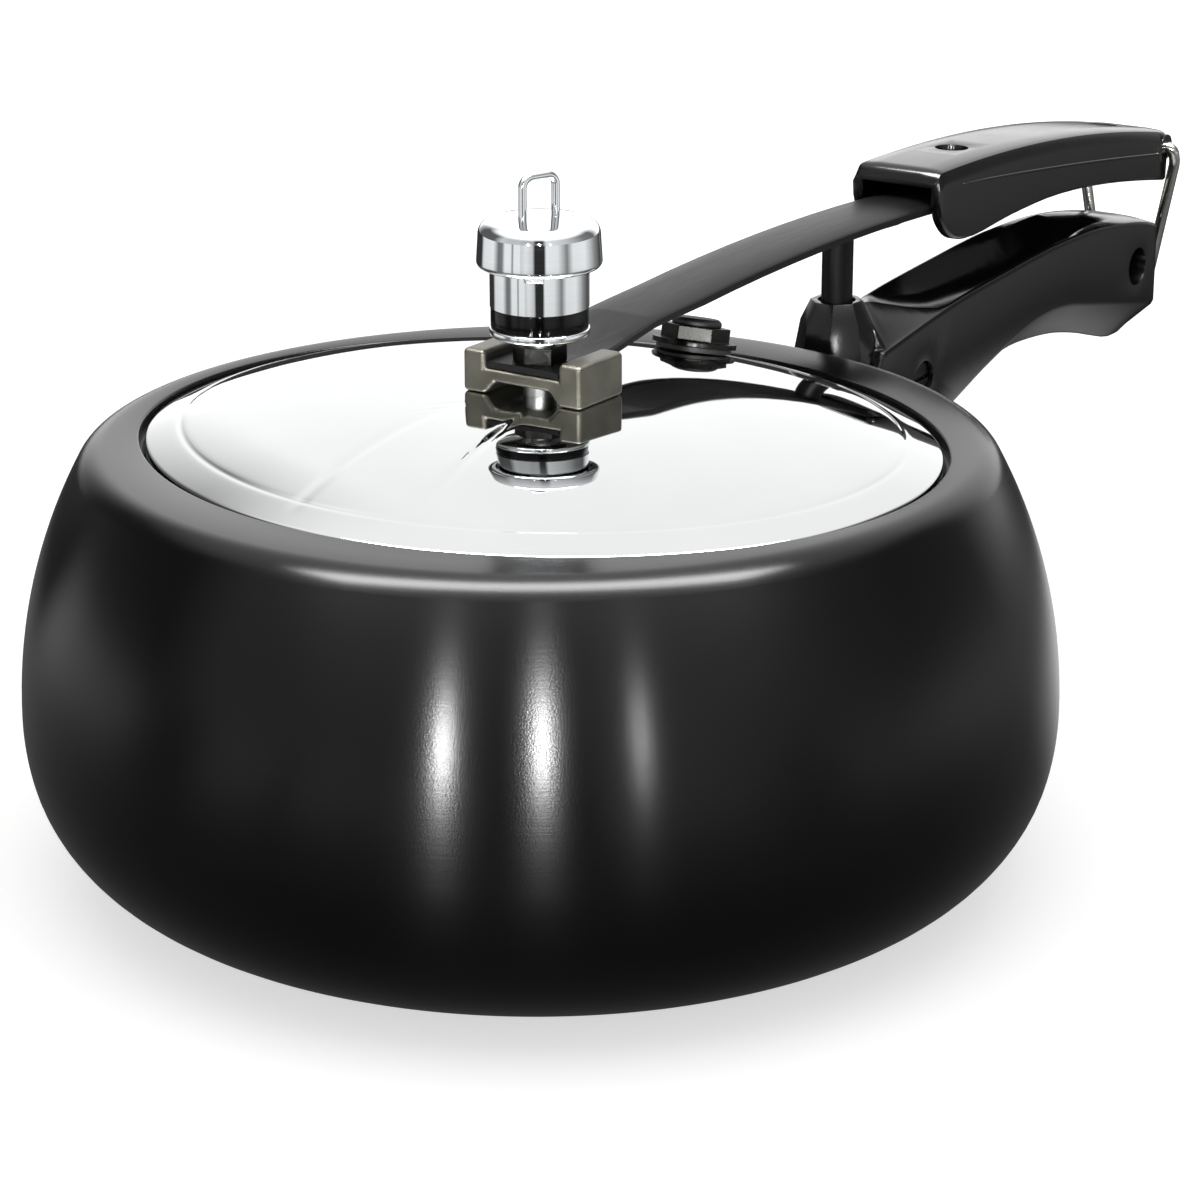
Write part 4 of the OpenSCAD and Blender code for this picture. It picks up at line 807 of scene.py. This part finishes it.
class COOKER_OT_lid(bpy.types.Operator):
    """Makes the pressed lid, its flange and its rubber ring"""
    bl_idname = "cooker.lid"
    bl_label = "Lid"

    def execute(self, context):
        lid = context.scene.cooker_lid
        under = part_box("lid")[0].z
        flange = under + lid.sheet
        slope = math.degrees(math.atan(lid.rise * lid.power / lid.curve))
        # The crown's edge rolls over into the upright wall of the flange.
        r = 0.7 * MM
        join = r * (1 - math.cos(math.radians(90 - slope)))
        edge_z = crown(join) - r * math.sin(math.radians(90 - slope))
        roll = [(-lid.gap - r + r * math.cos(math.radians(a)), edge_z + r * math.sin(math.radians(a)))
                for a in (90 - slope, 50, 34, 17, 0)]
        # Distances in from the edge, in millimetres, close together over the bead.
        deep = [60, 56, 52, 48, 44, 40, 36, 32, 28, 25, 22, 19, 17, 15, 13, 11.5, 10.2, 9.2]
        deep += [8.4 - 0.1 * i for i in range(17)] + [6.2, 5.2, 4.2, 3.3, 2.5, 1.8, 1.2, 0.8]
        deep_below = (2, 4.5, 8, 12, 17, 26, 38, 50, 60)
        # The crown is level round the vent hole.
        vent_hole = 3.6 * MM
        level = 3 * vent_hole
        top, below = crown(lid.curve), crown(lid.curve) - lid.sheet
        rings = [disc(vent_hole, top), disc(level, top)]
        rings += [pressed(d * MM) for d in deep]
        rings += [oval(o, z) for o, z in roll]
        rings += [oval(-lid.gap, flange), oval(lid.reach, flange), oval(lid.reach, under),
                  oval(-lid.gap - lid.sheet, under)]
        rings += [oval(-lid.gap - d * MM, crown(d * MM) - lid.sheet) for d in deep_below]
        rings += [disc(level, below), disc(vent_hole, below)]
        bm = bmesh.new()
        skin(bm, rings, lid.steps, closed=True)
        bmesh.ops.recalc_face_normals(bm, faces=bm.faces)
        piece("lid_dish", bm, ["lid"], 50.0)

        # The rubber ring lies on the flange, just inside its edge, with its upper corners cut off.
        low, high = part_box("gasket")
        inner, outer = -lid.gap + 0.3 * MM, lid.reach - 0.1 * MM
        lip = 0.5 * MM
        bm = bmesh.new()
        section = [(inner, low.z), (outer, low.z), (outer, high.z - lip), (outer - lip, high.z),
                   (inner + lip, high.z), (inner, high.z - lip)]
        skin(bm, [oval(o, z) for o, z in section], lid.steps // 2, closed=True)
        bmesh.ops.recalc_face_normals(bm, faces=bm.faces)
        piece("gasket_ring", bm, ["gasket"], 30.0)
        return {"FINISHED"}


class COOKER_OT_lever(bpy.types.Operator):
    """Makes the cast saddle, the lever bar and the pillar with its seat"""
    bl_idname = "cooker.lever"
    bl_label = "Saddle, bar and pillar"

    def execute(self, context):
        edges = context.scene.cooker_edges
        low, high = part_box("lid_bracket")
        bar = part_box("handle_bar")[1].y
        # The section of the saddle: a channel that holds the bar, and two feet with a slope between them.
        play, channel_floor, web, foot = 0.15 * MM, 5.7 * MM, 2.8 * MM, 2.4 * MM
        half, gap = high.y, bar + play
        web_top = low.z + channel_floor
        web_low = web_top - web
        outline = [(half, low.z), (half, high.z), (gap, high.z), (gap, web_top),
                   (-gap, web_top), (-gap, high.z), (-half, high.z), (-half, low.z),
                   (-gap, low.z), (-gap + foot, web_low), (gap - foot, web_low), (gap, low.z)]
        bm = bmesh.new()
        face = bm.faces.new([bm.verts.new((low.x, y, z)) for y, z in outline])
        pushed = bmesh.ops.extrude_face_region(bm, geom=[face])["geom"]
        bmesh.ops.translate(bm, verts=[g for g in pushed if isinstance(g, bmesh.types.BMVert)],
                            vec=(high.x - low.x, 0.0, 0.0))
        bmesh.ops.recalc_face_normals(bm, faces=bm.faces)
        sharp = math.radians(23)
        rounded(bm, [e for e in bm.edges if e.calc_face_angle(0.0) > sharp], edges.saddle, 5)
        piece("cast_saddle", bm, ["lid_bracket"], 50.0, True)
        dressed("lever_bar", "handle_bar", edges.bar, 40.0)
        dressed("pillar_post", "pillar", 0.0)
        dressed("pillar_cup", "pillar_seat", edges.fittings)
        dressed("saddle_rivets", "lid_rivets", 0.0)
        return {"FINISHED"}


class COOKER_OT_grips(bpy.types.Operator):
    """Makes both moulded grips and the bracket that carries the lower one"""
    bl_idname = "cooker.grips"
    bl_label = "Grips"

    def execute(self, context):
        edges = context.scene.cooker_edges
        dressed("lower_grip", "body_grip", edges.grips, 38.0, flat=0.0, weighted=False)
        dressed("upper_grip", "lid_grip", edges.grips, 38.0, flat=0.0, weighted=False, trim=moulding_line)
        dressed("grip_bracket_pad", "grip_bracket", edges.fittings)
        return {"FINISHED"}


class COOKER_OT_weight(bpy.types.Operator):
    """Makes the vent weight with its lifting loop"""
    bl_idname = "cooker.weight"
    bl_label = "Vent weight"

    def execute(self, context):
        weight = context.scene.cooker_weight
        low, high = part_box("weight_cap")
        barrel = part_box("weight_barrel")[1].x
        r, top, bulge = high.x, high.z, weight.top_round
        # The cap narrows a little upwards, and there is air between it and the barrel.
        taper, air = 0.35 * MM, 0.9 * MM
        side = r - taper
        shoulder = arc(side - bulge, top - weight.dome - bulge, bulge, 0, 75, 12)
        edge_x, edge_z = shoulder[-1]
        dome = [(edge_x * k / 8, top - (top - edge_z) * (k / 8) ** 2) for k in range(7, -1, -1)]
        hollow = barrel + air
        lip = arc(r - weight.lip_round, low.z + weight.lip_round, weight.lip_round, -90, 0, 8)
        outline = [(0.0, low.z + weight.skirt), (hollow, low.z + weight.skirt), (hollow, low.z)]
        turned("weight_cap_chrome", outline + lip + shoulder + dome, "weight_cap", weight.steps)

        # The ring at the foot is bored, chamfered below and softened above.
        low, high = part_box("weight_ring")
        bore, inset, soft, c = 4.4 * MM, 0.95 * MM, 0.3 * MM, weight.chamfer
        outline = [(bore, low.z), (high.x - inset, low.z)] + arc(high.x - c, low.z + c, c, -60, 0, 5)
        outline += arc(high.x - soft, high.z - soft, soft, 0, 90, 4) + [(bore, high.z)]
        turned("weight_base_ring", outline, "weight_ring", weight.steps, closed=True)

        # The enamelled band has both its edges softened.
        low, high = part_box("weight_band")
        thick, soft = 1.0 * MM, 0.25 * MM
        outline = [(high.x - thick, low.z)] + arc(high.x - soft, low.z + soft, soft, -90, 0, 4)
        outline += arc(high.x - soft, high.z - soft, soft, 0, 90, 4) + [(high.x - thick, high.z)]
        turned("weight_band_enamel", outline, "weight_band", weight.steps, closed=True)
        dressed("weight_barrel_chrome", "weight_barrel", 0.0)
        dressed("weight_slug", "weight_core", 0.0)
        dressed("weight_spring_clip", "weight_clip", 0.0)
        dressed("lifting_loop", "finger_loop", 0.0, flat=0.0, weighted=False)
        return {"FINISHED"}


# Names of the small pieces and the CAD nodes that they are made from.
ROUNDED_FITTINGS = {
    "vent_tube_turned": "vent_tube",
    "vent_tube_nut": "vent_nut",
    "valve_hexagon": "valve_body",
    "valve_inner_nut": "valve_nut",
    "valve_cover": "valve_cap",
    "cross_bolt": "grip_bolt",
    "cross_nut": "grip_nut",
    "grip_screws": "lid_grip_screws",
    "grip_screw_nuts": "lid_grip_nuts",
    "pot_rivets": "bracket_rivets",
}
PLAIN_FITTINGS = {"vent_seal": "vent_washer", "valve_seal": "valve_washer", "valve_fuse": "valve_plug"}


class COOKER_OT_fittings(bpy.types.Operator):
    """Makes the vent tube, the safety valve, the rivets, bolts and nuts, and the locking loop"""
    bl_idname = "cooker.fittings"
    bl_label = "Fittings"

    def execute(self, context):
        width = context.scene.cooker_edges.fittings
        for name, node in ROUNDED_FITTINGS.items():
            dressed(name, node, width)
        for name, node in PLAIN_FITTINGS.items():
            dressed(name, node, 0.0)
        dressed("locking_wire", "locking_loop", 0.0, flat=0.0, weighted=False)
        return {"FINISHED"}


FLOOR_RADIUS, FLOOR_DROP = 5.0, 0.4 * MM
# Each lamp: its place, or its distance and height on the camera's side; the point that it aims at; its size.
SOFTBOX_PLACE, SOFTBOX_AIM, SOFTBOX_SIZE = (-0.15, -0.1, 1.25), (0.0, 0.0, 0.05), (1.5, 1.1)
OVERHEAD_AWAY, OVERHEAD_HEIGHT, OVERHEAD_AIM, OVERHEAD_SIZE = 0.16, 1.3, (0.0, 0.0, 0.1), (1.7, 0.55)
STRIP_AWAY, STRIP_AIM, STRIP_SIZE = 1.5, (0.0, 0.0, 0.2), (0.03, 0.32)
# Each tall strip: its turn round the object from the camera's side, its share of the power and its height.
STRIPS = {"middle_strip": (0, 1.0, 0.3), "left_strip": (-20, 0.8, 0.24), "right_strip": (20, 0.2, 0.3)}


class COOKER_OT_stage(bpy.types.Operator):
    """Makes the floor, the soft studio light and the camera"""
    bl_idname = "cooker.stage"
    bl_label = "Stage"

    def execute(self, context):
        stage, scene = context.scene.cooker_stage, context.scene
        scene.view_settings.view_transform = "Standard"
        bm = bmesh.new()
        bmesh.ops.create_circle(bm, cap_ends=True, segments=96, radius=FLOOR_RADIUS)
        bmesh.ops.translate(bm, verts=bm.verts, vec=(0.0, 0.0, -FLOOR_DROP))
        mesh = bpy.data.meshes.new("floor")
        bm.to_mesh(mesh)
        bm.free()
        floor = bpy.data.objects.new("floor", mesh)
        scene.collection.objects.link(floor)
        mesh.materials.append(pale_floor(context.scene.cooker_colours, stage))
        studio_world(scene, stage)
        self.lamp(scene, "top_softbox", stage.key, SOFTBOX_PLACE, SOFTBOX_AIM, SOFTBOX_SIZE)
        eye = Vector(stage.eye)
        bearing = math.atan2(eye.y, eye.x)
        for name, (turn, share, height) in STRIPS.items():
            a = bearing + math.radians(turn)
            place = (STRIP_AWAY * math.cos(a), STRIP_AWAY * math.sin(a), height)
            self.lamp(scene, name, stage.strips * share, place, STRIP_AIM, STRIP_SIZE)
        place = (OVERHEAD_AWAY * math.cos(bearing), OVERHEAD_AWAY * math.sin(bearing), OVERHEAD_HEIGHT)
        self.lamp(scene, "overhead_strip", stage.over, place, OVERHEAD_AIM, OVERHEAD_SIZE)
        data = bpy.data.cameras.new("camera")
        data.lens, data.sensor_width = stage.lens, 36.0
        camera = bpy.data.objects.new("camera", data)
        camera.location = eye
        camera.rotation_euler = (Vector(stage.aim) - eye).to_track_quat("-Z", "Y").to_euler()
        scene.collection.objects.link(camera)
        scene.camera = camera
        return {"FINISHED"}

    def lamp(self, scene, name, power, place, aim, extent):
        """Adds a rectangular lamp that the camera doesn't see."""
        data = bpy.data.lights.new(name, "AREA")
        data.shape, data.energy = "RECTANGLE", power
        data.size, data.size_y = extent
        lamp = bpy.data.objects.new(name, data)
        lamp.location = place
        lamp.rotation_euler = (Vector(aim) - Vector(place)).to_track_quat("-Z", "Y").to_euler()
        lamp.visible_camera = False
        # The strips only draw highlights, and the softbox only lights.
        lamp.visible_glossy = name.endswith("strip")
        lamp.visible_diffuse = not lamp.visible_glossy
        scene.collection.objects.link(lamp)


class COOKER_PT_panel(bpy.types.Panel):
    """Lists the pieces of the cooker and their sizes"""
    bl_idname = "COOKER_PT_panel"
    bl_label = "Pressure cooker"
    bl_space_type = "VIEW_3D"
    bl_region_type = "UI"
    bl_category = "Cooker"

    def draw(self, context):
        for kind in OPERATORS:
            self.layout.operator(kind.bl_idname)
        for key, group in GROUPS.items():
            box = self.layout.box()
            box.label(text=group.__doc__)
            for field in group.__annotations__:
                box.prop(getattr(context.scene, key), field)


GROUPS = {
    "cooker_colours": CookerColours,
    "cooker_pot": CookerPot,
    "cooker_lid": CookerLid,
    "cooker_weight": CookerWeight,
    "cooker_edges": CookerEdges,
    "cooker_stage": CookerStage,
}
OPERATORS = (COOKER_OT_pot, COOKER_OT_lid, COOKER_OT_lever, COOKER_OT_grips, COOKER_OT_weight,
             COOKER_OT_fittings, COOKER_OT_stage)


def register():
    for kind in (*GROUPS.values(), *OPERATORS, COOKER_PT_panel):
        bpy.utils.register_class(kind)
    for key, group in GROUPS.items():
        setattr(bpy.types.Scene, key, PointerProperty(type=group))


def unregister():
    for key in GROUPS:
        delattr(bpy.types.Scene, key)
    for kind in (COOKER_PT_panel, *OPERATORS, *GROUPS.values()):
        bpy.utils.unregister_class(kind)


def main():
    register()
    bpy.ops.cooker.pot()
    bpy.ops.cooker.lid()
    bpy.ops.cooker.lever()
    bpy.ops.cooker.grips()
    bpy.ops.cooker.weight()
    bpy.ops.cooker.fittings()
    bpy.ops.cooker.stage()


if __name__ == "__main__":
    main()
